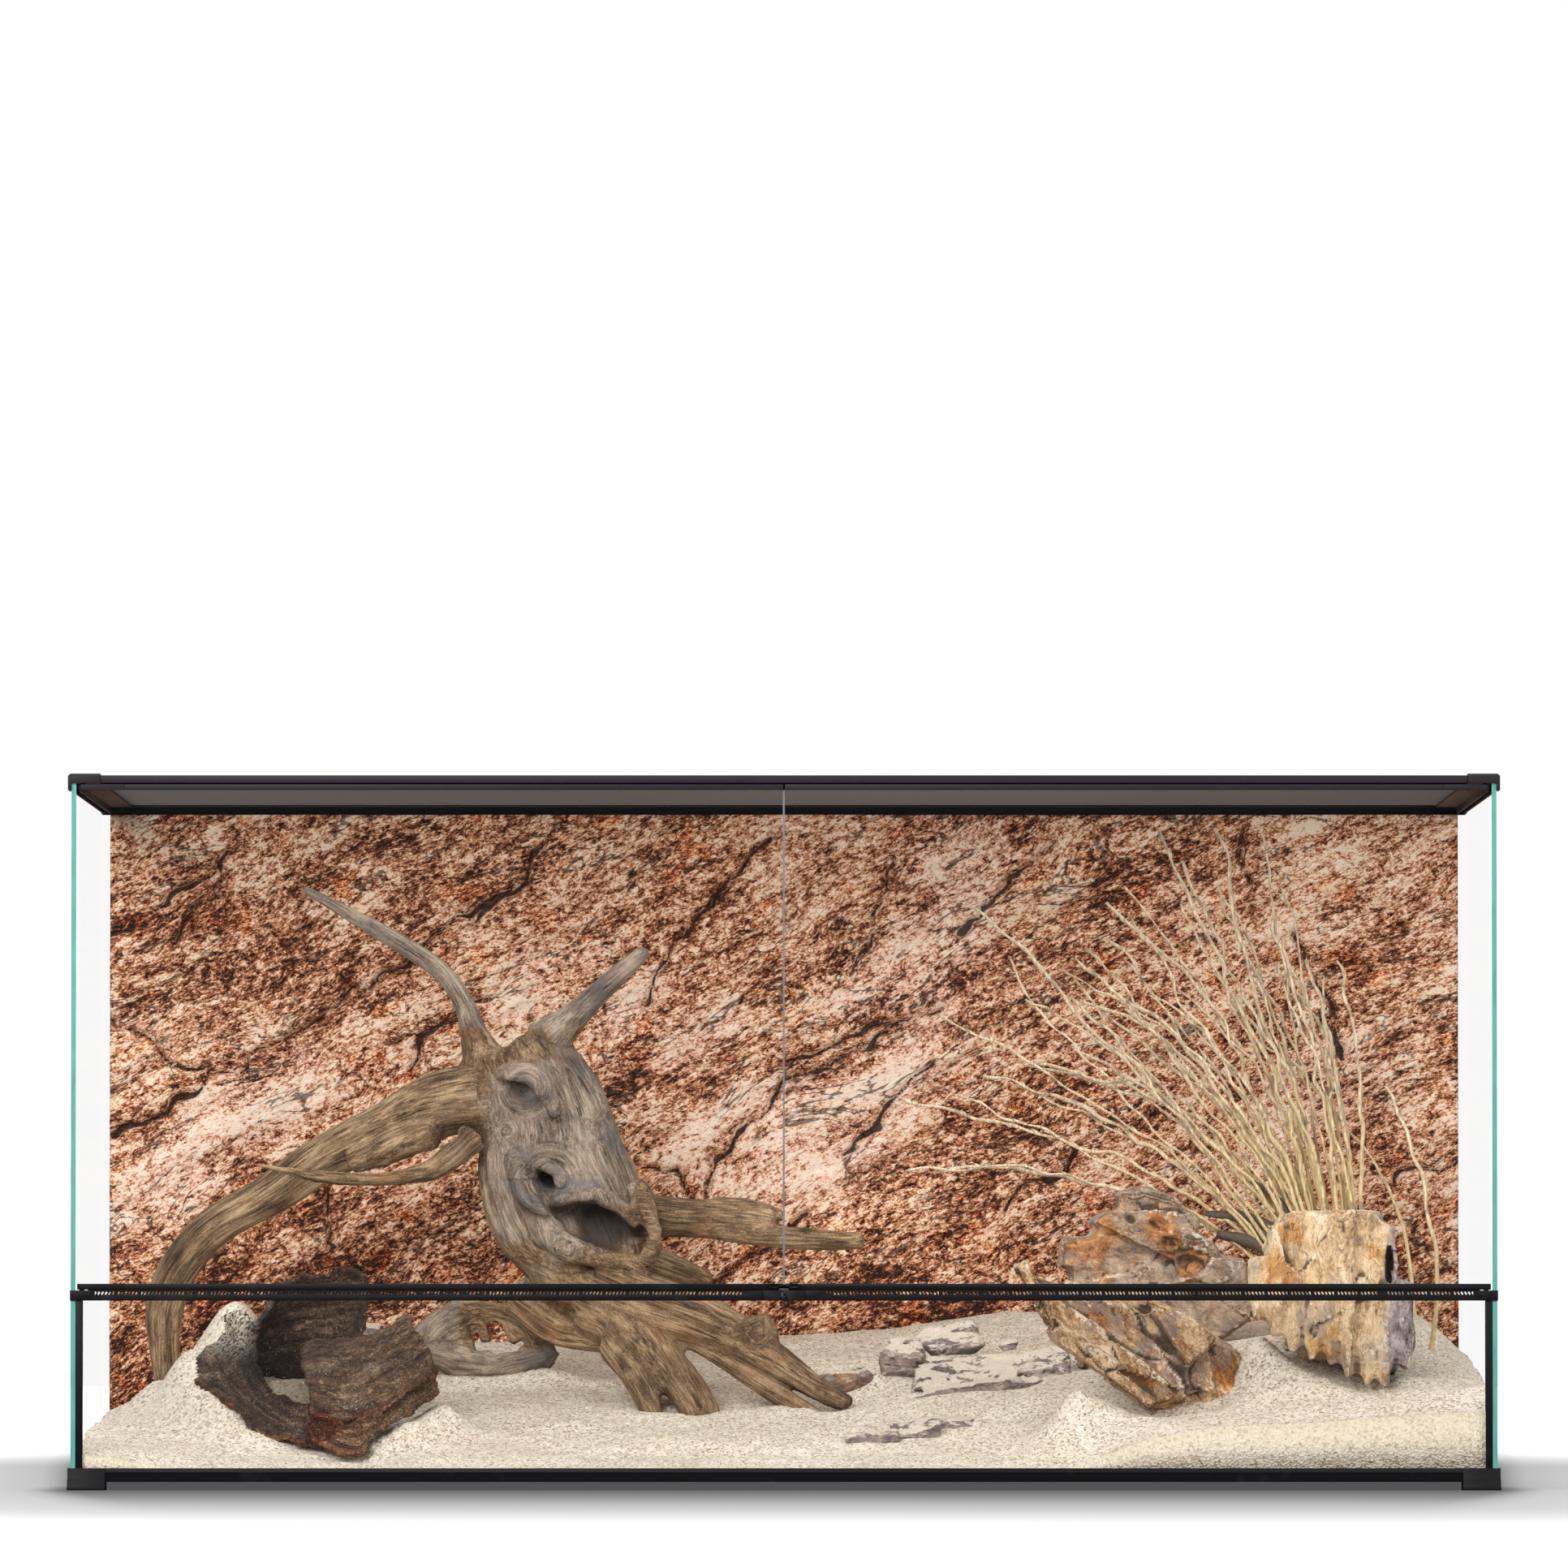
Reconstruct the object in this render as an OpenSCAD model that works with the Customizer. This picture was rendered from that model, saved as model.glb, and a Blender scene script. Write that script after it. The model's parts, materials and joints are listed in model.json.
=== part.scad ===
// Front-opening glass terrarium with a desert landscape inside.
// Millimetres. +X is the length, +Y points to the back and +Z up. The origin is at the centre of the
// footprint, on the surface that the four feet stand on.

/* [Case] */
// Outer length, over the feet
case_w = 1200; // [1196:1:1230]
// Outer depth, over the feet
case_d = 600; // [596:1:630]
// Outer height, to the top of the corner caps
case_h = 600; // [590:1:660]

/* [Glass] */
// Thickness of the side, rear, window and door panes
pane_t = 4; // [3.6:0.1:4]
// Thickness of the floor pane
floor_t = 5; // [4:0.5:5]
// Height of the underside of the floor pane above the table
floor_z = 9; // [9:0.5:10]

/* [Front] */
// Height of the underside of the ventilation strip
vent_z = 158.6; // [150:0.2:165]
// Height of the ventilation strip
vent_h = 8.6; // [8.6:0.1:9]
// Openings in a group of slots
slots_per_group = 6; // [2:1:6]
// Distance from one group of slots to the next
group_pitch = 19.45; // [19.2:0.05:24]

/* [Top frame] */
// Width of the top frame, from the outer face to the edge of the ledge
ledge_w = 27; // [24:1:30]
// Height of the lid frame
lid_h = 4.5; // [3.5:0.5:4.5]
// Width of a bar of the lid frame
lid_bar = 12; // [9:1:16]

/* [Landscape] */
// Columns of the sand surface
sand_cols = 48; // [24:2:56]
// Rows of the sand surface
sand_rows = 18; // [10:1:22]
// Columns of the rock relief on the back wall
relief_cols = 34; // [16:2:40]
// Rows of the rock relief on the back wall
relief_rows = 16; // [8:1:20]
// Facets round a piece of wood
wood_facets = 10; // [6:2:12]

/* [Hidden] */
half_w = case_w / 2;
half_d = case_d / 2;
fit = 0.2;                          // gap round a pane in its channel
slip = 0.1;                         // gap between small pieces that are pushed together
play = 0.3;                         // gap between moving pieces
run_gap = 0.05;                     // radial gap of a pin in its bore
film = 0.5;                         // thickness of a silicone joint
eps = 0.01;
cut = 1;                            // how far a cutting shape passes a face

pane_out = 3;                       // outer face of the case to the outer face of a pane
pane_x = half_w - pane_out;         // outer face of a side pane
pane_in_x = pane_x - pane_t;        // inner face of a side pane
pane_y = half_d - pane_out;         // outer face of the rear pane
pane_in_y = pane_y - pane_t;        // inner face of the rear pane
floor_top = floor_z + floor_t;
pane_top = case_h - 8;              // top edge of the fixed panes
grow = [case_w / 1200, case_d / 600, case_h / 600]; // the landscape is laid out for this case

foot_w = 32;
foot_top = 18.5;
rail_z = 7;                         // underside of the base rails
rail_in = 2.3;                      // outer face of the case to the inner face of a base rail web
rail_out = 1.3;                     // outer face of the case to the outer face of a base rail web
rail_ledge = 14;
bead_z = 15;
bead_h = 0.8;
bead_t = 0.4;

window_front = -half_d + 4.3;       // front face of the window pane
window_back = window_front + pane_t;
window_end = pane_in_x - 2;         // end of the window pane
post_w = 6;
post_front = -half_d + 2.5;
post_back = -half_d + 11;
window_top = vent_z + 1.6;
channel_top = window_top + fit;

vent_front = -half_d + 1.4;
vent_back = -half_d + 11;
vent_top = vent_z + vent_h;
vent_wall = 1.8;
vent_end = half_w - 17;             // where the grille stops and the end cap begins
vent_web_top = vent_z + 4.6;        // top of the solid lower part
vent_roof = 0.8;
vent_roof_z = vent_top - vent_roof;
slot_w = 1.3;
slot_h = 2.6;
slot_lean = 30;
slot_pitch = 3.03;
slot_z = (vent_web_top + vent_roof_z) / 2;
rib_w = 3;
latch_half = 17.5;
latch_front = -half_d + 0.2;
plain_half = 34;                    // half width of the plain stretch round the latch
groups = floor((vent_end - plain_half) / group_pitch);

pivot_x = half_w - 12.2;
pivot_y = -half_d + 7;
pin_r = 2;
bore_r = pin_r + run_gap;
door_rail_h = 5;
door_top_h = 4.7;
door_rail_d = 8;
door_bottom = vent_top + 0.5;
door_top = pane_top - 0.9;
door_glass_z = door_bottom + 1.9;
door_glass_top = door_top - 1.5;
door_gap = 1;                       // centre line to the edge of a door pane
hinge_end = half_w - 47.2;          // where a door rail stops and its hinge piece begins
pin_up = 5.9;
pin_down = 4.3;
pin_root = 0.5;                     // how far a pin is sunk in its hinge piece
seal_t = 1.6;

bolt_half = 4;
bolt_front = -half_d + 0.8;
bolt_back = -half_d + 2.7;
bolt_base = vent_z + 1.4;
bolt_top = vent_top + 1.8;
lock_z = vent_web_top;
lock_r = 2.7;
lock_front = -half_d + 0.3;
lock_back = -half_d + 7.8;
notch_half = bolt_half + 0.75;
notch_top = bolt_top + 1;
pull_half = 12.5;
pull_front = -half_d + 0.4;
pull_z = door_bottom + 1.5;
groove_r = 1.8;                     // finger groove under a door pull

web_bottom = pane_top - 6;          // lower edge of the webs of the top frame
web_face = 1.4;                     // outer face of the case to the outer face of the top frame
web_in = pane_out + pane_t + fit;   // outer face of the case to the inner web
web_out = pane_out - fit;           // outer face of the case to the inside of the outer web
cap_w = 27;                         // length of a corner cap along each side
ledge_top = pane_top + 1.5;
rim_top = case_h - 1.5;
rim_t = 1.5;
curb = 17;                          // outer face of the case to the curb round the lid
lid_gap = 0.5;
lid_x = half_w - curb - lid_gap;
lid_y = half_d - curb - lid_gap;
wire_t = 0.5;                       // thickness of the mesh bars
mesh_t = 2 * wire_t + 0.3;          // two crossed layers and the gap between them
mesh_z = ledge_top + 0.1;
mesh_in = 3.5;                      // how far the mesh reaches into the lid frame
mesh_cells = [12, 6];               // openings that stand for the weave, along the case and across it
mesh_bar = 2;                       // width of a bar between two openings
bevel = 2;

sand_front = -half_d + 11.3;
relief_back = pane_in_y - 0.2;
relief_max = 15.8;
sand_back = relief_back - relief_max - 0.3;
relief_top = web_bottom - 0.3;

// Sand heights at four depths of the layout, each as [x, z]
sand_z_front = [[-593, 31], [-510, 18], [245, 18], [267, 28], [302, 42], [363, 53], [454, 57], [593, 67]];
sand_z_near = [[-593, 38], [-510, 28], [180, 26], [300, 54], [450, 68], [530, 76], [593, 84]];
sand_z_mid = [[-593, 48], [-540, 58], [-400, 62], [0, 66], [200, 84], [320, 112], [430, 128], [520, 118],
    [593, 98]];
sand_z_rear = [[-593, 60], [-550, 82], [-500, 112], [-400, 128], [-200, 120], [0, 125], [100, 133],
    [200, 150], [400, 140], [545, 155], [570, 140], [593, 116]];
sand_y = [-288.7, -243.7, -60, 276.7];
heap = [-474, 8, 66, 34, 62];       // sand heap: x, y, height, spread in x, spread in y

// ---------- shared shapes ----------

// A box from one corner to the opposite one
module span(a, b) translate(a) cube(b - a);

// The same piece on the other side of the centre plane
module other_side() mirror([1, 0, 0]) children();

// An outline in the (y, z) plane, drawn out along x from x0 to x1
module along_x(x0, x1, outline)
    translate([x0, 0, 0]) rotate([90, 0, 90]) linear_extrude(x1 - x0) polygon(outline);

// An outline in the (x, z) plane, drawn out along y from y0 to y1
module along_y(y0, y1, outline)
    translate([0, y1, 0]) rotate([90, 0, 0]) linear_extrude(y1 - y0) polygon(outline);

// A solid with a flat underside at z0 and a surface given by the function f(x, y)
module grid_solid(xs, ys, z0, f) {
    nx = len(xs);
    ny = len(ys);
    top = [for (y = ys, x = xs) [x, y, f(x, y)]];
    rim = concat([for (i = [0 : nx - 2]) i], [for (j = [0 : ny - 2]) j * nx + nx - 1],
        [for (i = [nx - 1 : -1 : 1]) (ny - 1) * nx + i], [for (j = [ny - 1 : -1 : 1]) j * nx]);
    under = nx * ny;                // first point of the lower rim
    turns = len(rim);
    hub = [(xs[0] + xs[nx - 1]) / 2, (ys[0] + ys[ny - 1]) / 2, z0];
    low = [for (p = rim) [top[p].x, top[p].y, z0]];
    cells = [for (j = [0 : ny - 2], i = [0 : nx - 2]) let (p = j * nx + i)
        each [[p, p + nx, p + nx + 1], [p, p + nx + 1, p + 1]]];
    walls = [for (k = [0 : turns - 1]) let (next = (k + 1) % turns)
        each [[rim[k], rim[next], under + next], [rim[k], under + next, under + k],
            [under + k, under + next, under + turns]]];
    polyhedron(concat(top, low, [hub]), concat(cells, walls));
}

function steps(a, b, n) = [for (i = [0 : n]) a + (b - a) * i / n];

// A limb through points [x, y, z, radius]; flat squeezes it from front to back
module limb(line, flat = 1)
    for (i = [0 : len(line) - 2])
        hull() {
            knot(line[i], flat);
            knot(line[i + 1], flat);
        }

module knot(p, flat = 1)
    translate([p.x, p.y, p.z]) scale([1, flat, 1]) sphere(p[3], $fn = wood_facets);

// A curved plate between two edges, t thick
module plate(low, high, t)
    for (i = [0 : len(low) - 2])
        hull()
            for (p = [low[i], high[i], low[i + 1], high[i + 1]])
                translate(p) sphere(t / 2, $fn = 6);

// A stone as the hull of small balls at the given corners
module stone(corners, r = 3)
    hull()
        for (p = corners)
            translate(p) sphere(r, $fn = 6);

// A low pebble with a centre, half sizes and a turn
module pebble(at, size, turn = 0)
    hull()
        for (k = [[1, 0.55], [0.8, 1], [0.75, -0.5]])
            translate([at.x, at.y, at.z + k[1] * size.z * 0.6])
                rotate([0, 0, turn]) scale([size.x * k[0], size.y * k[0], size.z * 0.4]) sphere(1, $fn = 8);

// ---------- base ----------

function base_profile(face) = [[face - rail_out, rail_z], [face - rail_out, bead_z - bead_h / 2],
    [face - rail_out + bead_t, bead_z - bead_h / 2], [face - rail_out + bead_t, bead_z + bead_h / 2],
    [face - rail_out, bead_z + bead_h / 2], [face - rail_out, foot_top], [face - rail_in, foot_top],
    [face - rail_in, floor_z], [face - rail_in - rail_ledge, floor_z], [face - rail_in - rail_ledge, rail_z]];

module base_rail_rear() color([0.07, 0.07, 0.08])
    along_x(-half_w + foot_w, half_w - foot_w, base_profile(half_d));

module base_rail_right() color([0.07, 0.07, 0.08])
    along_y(-half_d + foot_w, half_d - foot_w, base_profile(half_w));

// Foot of the rear right corner
module corner_foot() color([0.06, 0.06, 0.07]) {
    side_x = half_w - foot_w;
    side_y = half_d - foot_w;
    sole = 2.5;
    draft = 0.3;
    span([side_x, side_y, 0], [half_w, half_d, sole]);
    span([side_x, side_y, sole - eps], [half_w - draft, half_d - draft, floor_z]);
    span([half_w - rail_in, side_y, floor_z - eps], [half_w - 2 * draft, half_d - 2 * draft, foot_top]);
    span([side_x, half_d - rail_in, floor_z - eps], [half_w - 2 * draft, half_d - 2 * draft, foot_top]);
}

// ---------- fixed glass ----------

module floor_glass() color([0.55, 0.75, 0.7, 0.5])
    span([-pane_x, -pane_y, floor_z], [pane_x, pane_y, floor_top]);

module side_glass_right() color([0.6, 0.8, 0.75, 0.4])
    span([pane_in_x, -pane_y, floor_top + film], [pane_x, pane_y, pane_top]);

module rear_glass() color([0.6, 0.8, 0.75, 0.4])
    span([-pane_in_x + film, pane_in_y, floor_top + film], [pane_in_x - film, pane_y, pane_top]);

module front_window_glass() color([0.6, 0.8, 0.75, 0.4])
    span([-window_end, window_front, floor_top + film], [window_end, window_back, window_top]);

module corner_post_right() color([0.07, 0.07, 0.08])
    difference() {
        span([pane_in_x - post_w, post_front, floor_top], [pane_in_x, post_back, vent_z]);
        span([pane_in_x - post_w - cut, window_front - fit, floor_top - cut],
            [window_end + fit, window_back + fit, vent_z + cut]);
    }

module silicone_joints() color([0.1, 0.1, 0.1]) {
    for (s = [-1, 1]) {
        translate([s * (pane_x - pane_t / 2), 0, floor_top + film / 2])
            cube([pane_t, 2 * pane_y, film], center = true);
        translate([s * (pane_in_x - film / 2), pane_y - pane_t / 2, (floor_top + pane_top) / 2])
            cube([film, pane_t, pane_top - floor_top], center = true);
    }
    span([-pane_in_x + film, pane_in_y, floor_top], [pane_in_x - film, pane_y, floor_top + film]);
    span([-window_end, window_front, floor_top], [window_end, window_back, floor_top + film]);
}

// ---------- ventilation strip and lock ----------

vent_profile = [[vent_front, vent_z], [vent_front, vent_top], [vent_back, vent_top],
    [vent_back, vent_roof_z], [vent_front + vent_wall, vent_roof_z],
    [vent_front + vent_wall, vent_web_top], [vent_back, vent_web_top], [vent_back, vent_z],
    [window_back + fit, vent_z], [window_back + fit, channel_top],
    [window_front - fit, channel_top], [window_front - fit, vent_z]];

module vent_grille_right() color([0.08, 0.08, 0.09]) {
    difference() {
        along_x(latch_half, vent_end, vent_profile);
        for (g = [0 : groups - 1], i = [0 : slots_per_group - 1])
            translate([plain_half + (g + 0.5) * group_pitch + (i - (slots_per_group - 1) / 2) * slot_pitch,
                    vent_front + vent_wall / 2, slot_z])
                rotate([0, -slot_lean, 0])
                    cube([slot_w, vent_wall + cut, slot_h], center = true);
    }
    for (g = [0 : groups])
        translate([plain_half + g * group_pitch - rib_w / 2, vent_front + vent_wall - eps, vent_web_top - eps])
            cube([rib_w, vent_back - vent_front - vent_wall + eps, vent_roof_z - vent_web_top + 2 * eps]);
}

module vent_end_cap_right() color([0.06, 0.06, 0.07]) {
    cheek = pane_x + slip;
    cheek_out = pane_x + 0.6;
    difference() {
        union() {
            span([vent_end, vent_front, vent_z], [pane_in_x - slip, vent_back, vent_top]);
            span([vent_end, vent_front - 0.3, vent_z], [cheek_out, -pane_y - fit, vent_top]);
            span([cheek, -pane_y - fit - eps, vent_z], [cheek_out, vent_back, vent_top]);
        }
        span([vent_end - cut, window_front - fit, vent_z - cut],
            [window_end + fit, window_back + fit, channel_top]);
        translate([pivot_x, pivot_y, vent_web_top - fit]) cylinder(r = bore_r, h = vent_h, $fn = 48);
    }
}

module latch_housing() color([0.09, 0.09, 0.1])
    difference() {
        span([-latch_half, latch_front, vent_z], [latch_half, vent_back, vent_top]);
        span([-latch_half - cut, window_front - fit, vent_z - cut],
            [latch_half + cut, window_back + fit, channel_top]);
        span([-bolt_half - slip, bolt_front - slip, bolt_base - fit],
            [bolt_half + slip, bolt_back + slip, vent_top + cut]);
        span([-bolt_half + 0.8, -half_d - cut, bolt_base - fit],
            [bolt_half - 0.8, bolt_back, vent_top + cut]);
        translate([0, lock_back + fit, lock_z]) rotate([90, 0, 0])
            cylinder(r = lock_r + run_gap, h = lock_back - lock_front + cut, $fn = 48);
    }

// Arched bolt that straddles the lock and rises in front of both doors
module latch_bolt() color([0.55, 0.56, 0.58])
    difference() {
        span([-bolt_half, bolt_front, bolt_base], [bolt_half, bolt_back, bolt_top]);
        translate([0, bolt_back + cut, lock_z]) rotate([90, 0, 0])
            cylinder(r = lock_r + slip, h = bolt_back - bolt_front + 2 * cut, $fn = 48);
        span([-lock_r - slip, bolt_front - cut, bolt_base - cut], [lock_r + slip, bolt_back + cut, lock_z]);
    }

module lock_cylinder() color([0.6, 0.6, 0.62])
    difference() {
        translate([0, lock_back, lock_z]) rotate([90, 0, 0])
            cylinder(r = lock_r, h = lock_back - lock_front, $fn = 48);
        translate([0, lock_front, lock_z]) cube([0.9, 3, 3.6], center = true);
    }

// ---------- top frame and screen lid ----------

// Section of a rail that sits on a pane, measured from the outer face of the case
function pane_rail(face) = [[face - ledge_w, pane_top], [face - web_in - rim_t, pane_top],
    [face - web_in - rim_t, web_bottom], [face - web_in, web_bottom], [face - web_in, pane_top],
    [face - web_out, pane_top], [face - web_out, web_bottom], [face - web_face, web_bottom],
    [face - web_face, rim_top], [face - web_face - rim_t, rim_top], [face - web_face - rim_t, ledge_top],
    [face - curb + rim_t, ledge_top], [face - curb + rim_t, rim_top], [face - curb, rim_top],
    [face - curb, ledge_top], [face - ledge_w, ledge_top]];

// Section of the front rail, with a web behind the doors that stops them
door_stop = 11.3;
stop_bottom = web_bottom + 0.5;
function front_rail(face) = [[face + ledge_w, pane_top], [face + door_stop + rim_t, pane_top],
    [face + door_stop + rim_t, stop_bottom], [face + door_stop, stop_bottom],
    [face + door_stop, pane_top], [face + web_face, pane_top], [face + web_face, rim_top],
    [face + web_face + rim_t, rim_top], [face + web_face + rim_t, ledge_top],
    [face + curb - rim_t, ledge_top], [face + curb - rim_t, rim_top], [face + curb, rim_top],
    [face + curb, ledge_top], [face + ledge_w, ledge_top]];

module top_rail_front() color([0.07, 0.07, 0.08])
    along_x(-half_w + cap_w, half_w - cap_w, front_rail(-half_d));

module top_rail_rear() color([0.07, 0.07, 0.08])
    along_x(-half_w + cap_w, half_w - cap_w, pane_rail(half_d));

module top_rail_right() color([0.07, 0.07, 0.08])
    along_y(-half_d + cap_w, half_d - cap_w, pane_rail(half_w));

// Cap of the right corner; sy is 1 at the rear and -1 at the front
module top_corner(sy) color([0.06, 0.06, 0.07]) {
    in_x = half_w - cap_w;
    in_y = half_d - cap_w;
    mirror([0, sy > 0 ? 0 : 1, 0]) difference() {
        union() {
            span([in_x, in_y, pane_top], [half_w, half_d, ledge_top]);
            span([half_w - curb, in_y, ledge_top - eps], [half_w, half_d, case_h]);
            span([in_x, half_d - curb, ledge_top - eps], [half_w, half_d, case_h]);
            span([half_w - web_out, in_y, web_bottom], [half_w, half_d, pane_top + eps]);
            if (sy > 0)
                span([in_x, half_d - web_out, web_bottom], [half_w, half_d, pane_top + eps]);
        }
        translate([half_w, 0, case_h]) rotate([0, 45, 0])
            cube([bevel * sqrt(2), case_d + 2 * cut, bevel * sqrt(2)], center = true);
        translate([0, half_d, case_h]) rotate([45, 0, 0])
            cube([case_w + 2 * cut, bevel * sqrt(2), bevel * sqrt(2)], center = true);
        if (sy < 0)
            translate([pivot_x, -pivot_y, pane_top - cut])
                cylinder(r = bore_r, h = pin_up + slip + cut, $fn = 48);
    }
}

module screen_frame() color([0.08, 0.08, 0.09])
    difference() {
        span([-lid_x, -lid_y, ledge_top], [lid_x, lid_y, ledge_top + lid_h]);
        span([-lid_x + lid_bar, -lid_y + lid_bar, ledge_top - cut],
            [lid_x - lid_bar, lid_y - lid_bar, ledge_top + lid_h + cut]);
        span([-lid_x + lid_bar - mesh_in, -lid_y + lid_bar - mesh_in, ledge_top - cut],
            [lid_x - lid_bar + mesh_in, lid_y - lid_bar + mesh_in, mesh_z + mesh_t]);
    }

// Two crossed layers of bars, held by their ends in the groove of the lid frame
module screen_mesh() color([0.2, 0.2, 0.21]) {
    reach = [lid_x - lid_bar + mesh_in - fit, lid_y - lid_bar + mesh_in - fit];
    cell = [2 * (lid_x - lid_bar) / mesh_cells.x, 2 * (lid_y - lid_bar) / mesh_cells.y];
    for (i = [1 : mesh_cells.x - 1])
        let (x = lid_bar - lid_x + cell.x * i)
            span([x - mesh_bar / 2, -reach.y, mesh_z], [x + mesh_bar / 2, reach.y, mesh_z + wire_t]);
    for (j = [1 : mesh_cells.y - 1])
        let (y = lid_bar - lid_y + cell.y * j)
            span([-reach.x, y - mesh_bar / 2, mesh_z + mesh_t - wire_t],
                [reach.x, y + mesh_bar / 2, mesh_z + mesh_t]);
}

// ---------- doors ----------

rail_y0 = pivot_y - door_rail_d / 2;
rail_y1 = pivot_y + door_rail_d / 2;
glass_y0 = pivot_y - pane_t / 2;
glass_y1 = pivot_y + pane_t / 2;
glass_end = pivot_x + 3.1;

module door_glass_right() color([0.65, 0.82, 0.78, 0.35])
    span([door_gap, glass_y0, door_glass_z], [glass_end, glass_y1, door_glass_top]);

module door_top_rail_right() color([0.08, 0.08, 0.09])
    difference() {
        span([door_gap - 0.4, rail_y0, door_top - door_top_h], [hinge_end, rail_y1, door_top]);
        span([-cut, glass_y0 - slip, 0], [hinge_end + cut, glass_y1 + slip, door_glass_top + slip]);
    }

module door_bottom_rail_right() color([0.08, 0.08, 0.09])
    difference() {
        span([door_gap - 0.4, rail_y0, door_bottom], [hinge_end, rail_y1, door_bottom + door_rail_h]);
        span([-cut, glass_y0 - slip, door_glass_z - slip], [hinge_end + cut, glass_y1 + slip, case_h]);
        span([-cut, rail_y0 - cut, door_bottom - cut], [notch_half, rail_y1 + cut, notch_top]);
    }

module door_pull_right() color([0.05, 0.05, 0.06])
    difference() {
        span([notch_half + 0.15, pull_front, pull_z], [pull_half, rail_y0, door_bottom + door_rail_h]);
        translate([0, pull_front - groove_r / 3, pull_z + 1.1]) rotate([0, 90, 0])
            cylinder(r = groove_r, h = pull_half - 1.2, $fn = 32);
    }

// End piece of a door rail between z0 and z1, with its pin from pin_z to pin_z + pin_h
module hinge_piece(z0, z1, glass_z0, glass_z1, pin_z, pin_h) {
    difference() {
        union() {
            span([hinge_end, rail_y0, z0], [pivot_x, rail_y1, z1]);
            translate([pivot_x, pivot_y, z0]) cylinder(d = door_rail_d, h = z1 - z0, $fn = 64);
        }
        span([hinge_end - cut, glass_y0 - slip, glass_z0], [glass_end + slip, glass_y1 + slip, glass_z1]);
    }
    translate([pivot_x, pivot_y, pin_z]) cylinder(r = pin_r, h = pin_h, $fn = 48);
}

module door_hinge_top_right() color([0.07, 0.07, 0.08])
    hinge_piece(door_top - door_top_h, door_top, 0, door_glass_top + slip,
        door_top - pin_root, pin_up + pin_root);

module door_hinge_bottom_right() color([0.07, 0.07, 0.08])
    hinge_piece(door_bottom, door_bottom + door_rail_h, door_glass_z - slip, case_h,
        door_bottom - pin_down, pin_down + pin_root);

module door_edge_seal() color([0.8, 0.85, 0.85, 0.6])
    span([-door_gap, glass_y0, door_bottom + door_rail_h + play],
        [-door_gap + seal_t, glass_y1, door_top - door_top_h - play]);

// ---------- landscape ----------

// Height of the sand at a place
module landscape() scale(grow) children();

function blend(a, b, t) = a + (b - a) * min(1, max(0, t));
function sand_z(x, y) =
    let (f = lookup(x, sand_z_front), n = lookup(x, sand_z_near),
         m = lookup(x, sand_z_mid), r = lookup(x, sand_z_rear))
    (y < sand_y[1] ? blend(f, n, (y - sand_y[0]) / (sand_y[1] - sand_y[0]))
        : y < sand_y[2] ? blend(n, m, (y - sand_y[1]) / (sand_y[2] - sand_y[1]))
        : blend(m, r, (y - sand_y[2]) / (sand_y[3] - sand_y[2])))
    + heap[2] * exp(-pow((x - heap[0]) / heap[3], 2) - pow((y - heap[1]) / heap[4], 2))
    + 1.2 * sin(x * 2.3 + y) * sin(y * 3.1);

module sand_bed() color([0.88, 0.83, 0.74])
    grid_solid(steps(-pane_in_x + play, pane_in_x - play, sand_cols), steps(sand_front, sand_back, sand_rows),
        floor_top, function (x, y) grow.z * sand_z(x / grow.x, y / grow.y));

// Thickness of the rock relief at a place: strata that rise to the right, with steps between them
function relief(x, z) =
    let (u = z * 0.9 - x * 0.45, w = 0.5 + 0.5 * sin(u * 2.1 + 40 * sin(x * 0.4)))
    5 + 5.5 * w + 3 * sin(x * 0.9 + z * 0.5) * sin(z * 1.1) + 2.2 * sin(u * 5.2);

module rock_background() color([0.68, 0.45, 0.35])
    translate([0, relief_back, 0]) rotate([90, 0, 0])
        grid_solid(steps(-pane_in_x + play, pane_in_x - play, relief_cols),
            steps(floor_top, relief_top, relief_rows), 0,
            function (x, z) min(relief_max, max(2, relief(x, z))));

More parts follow.
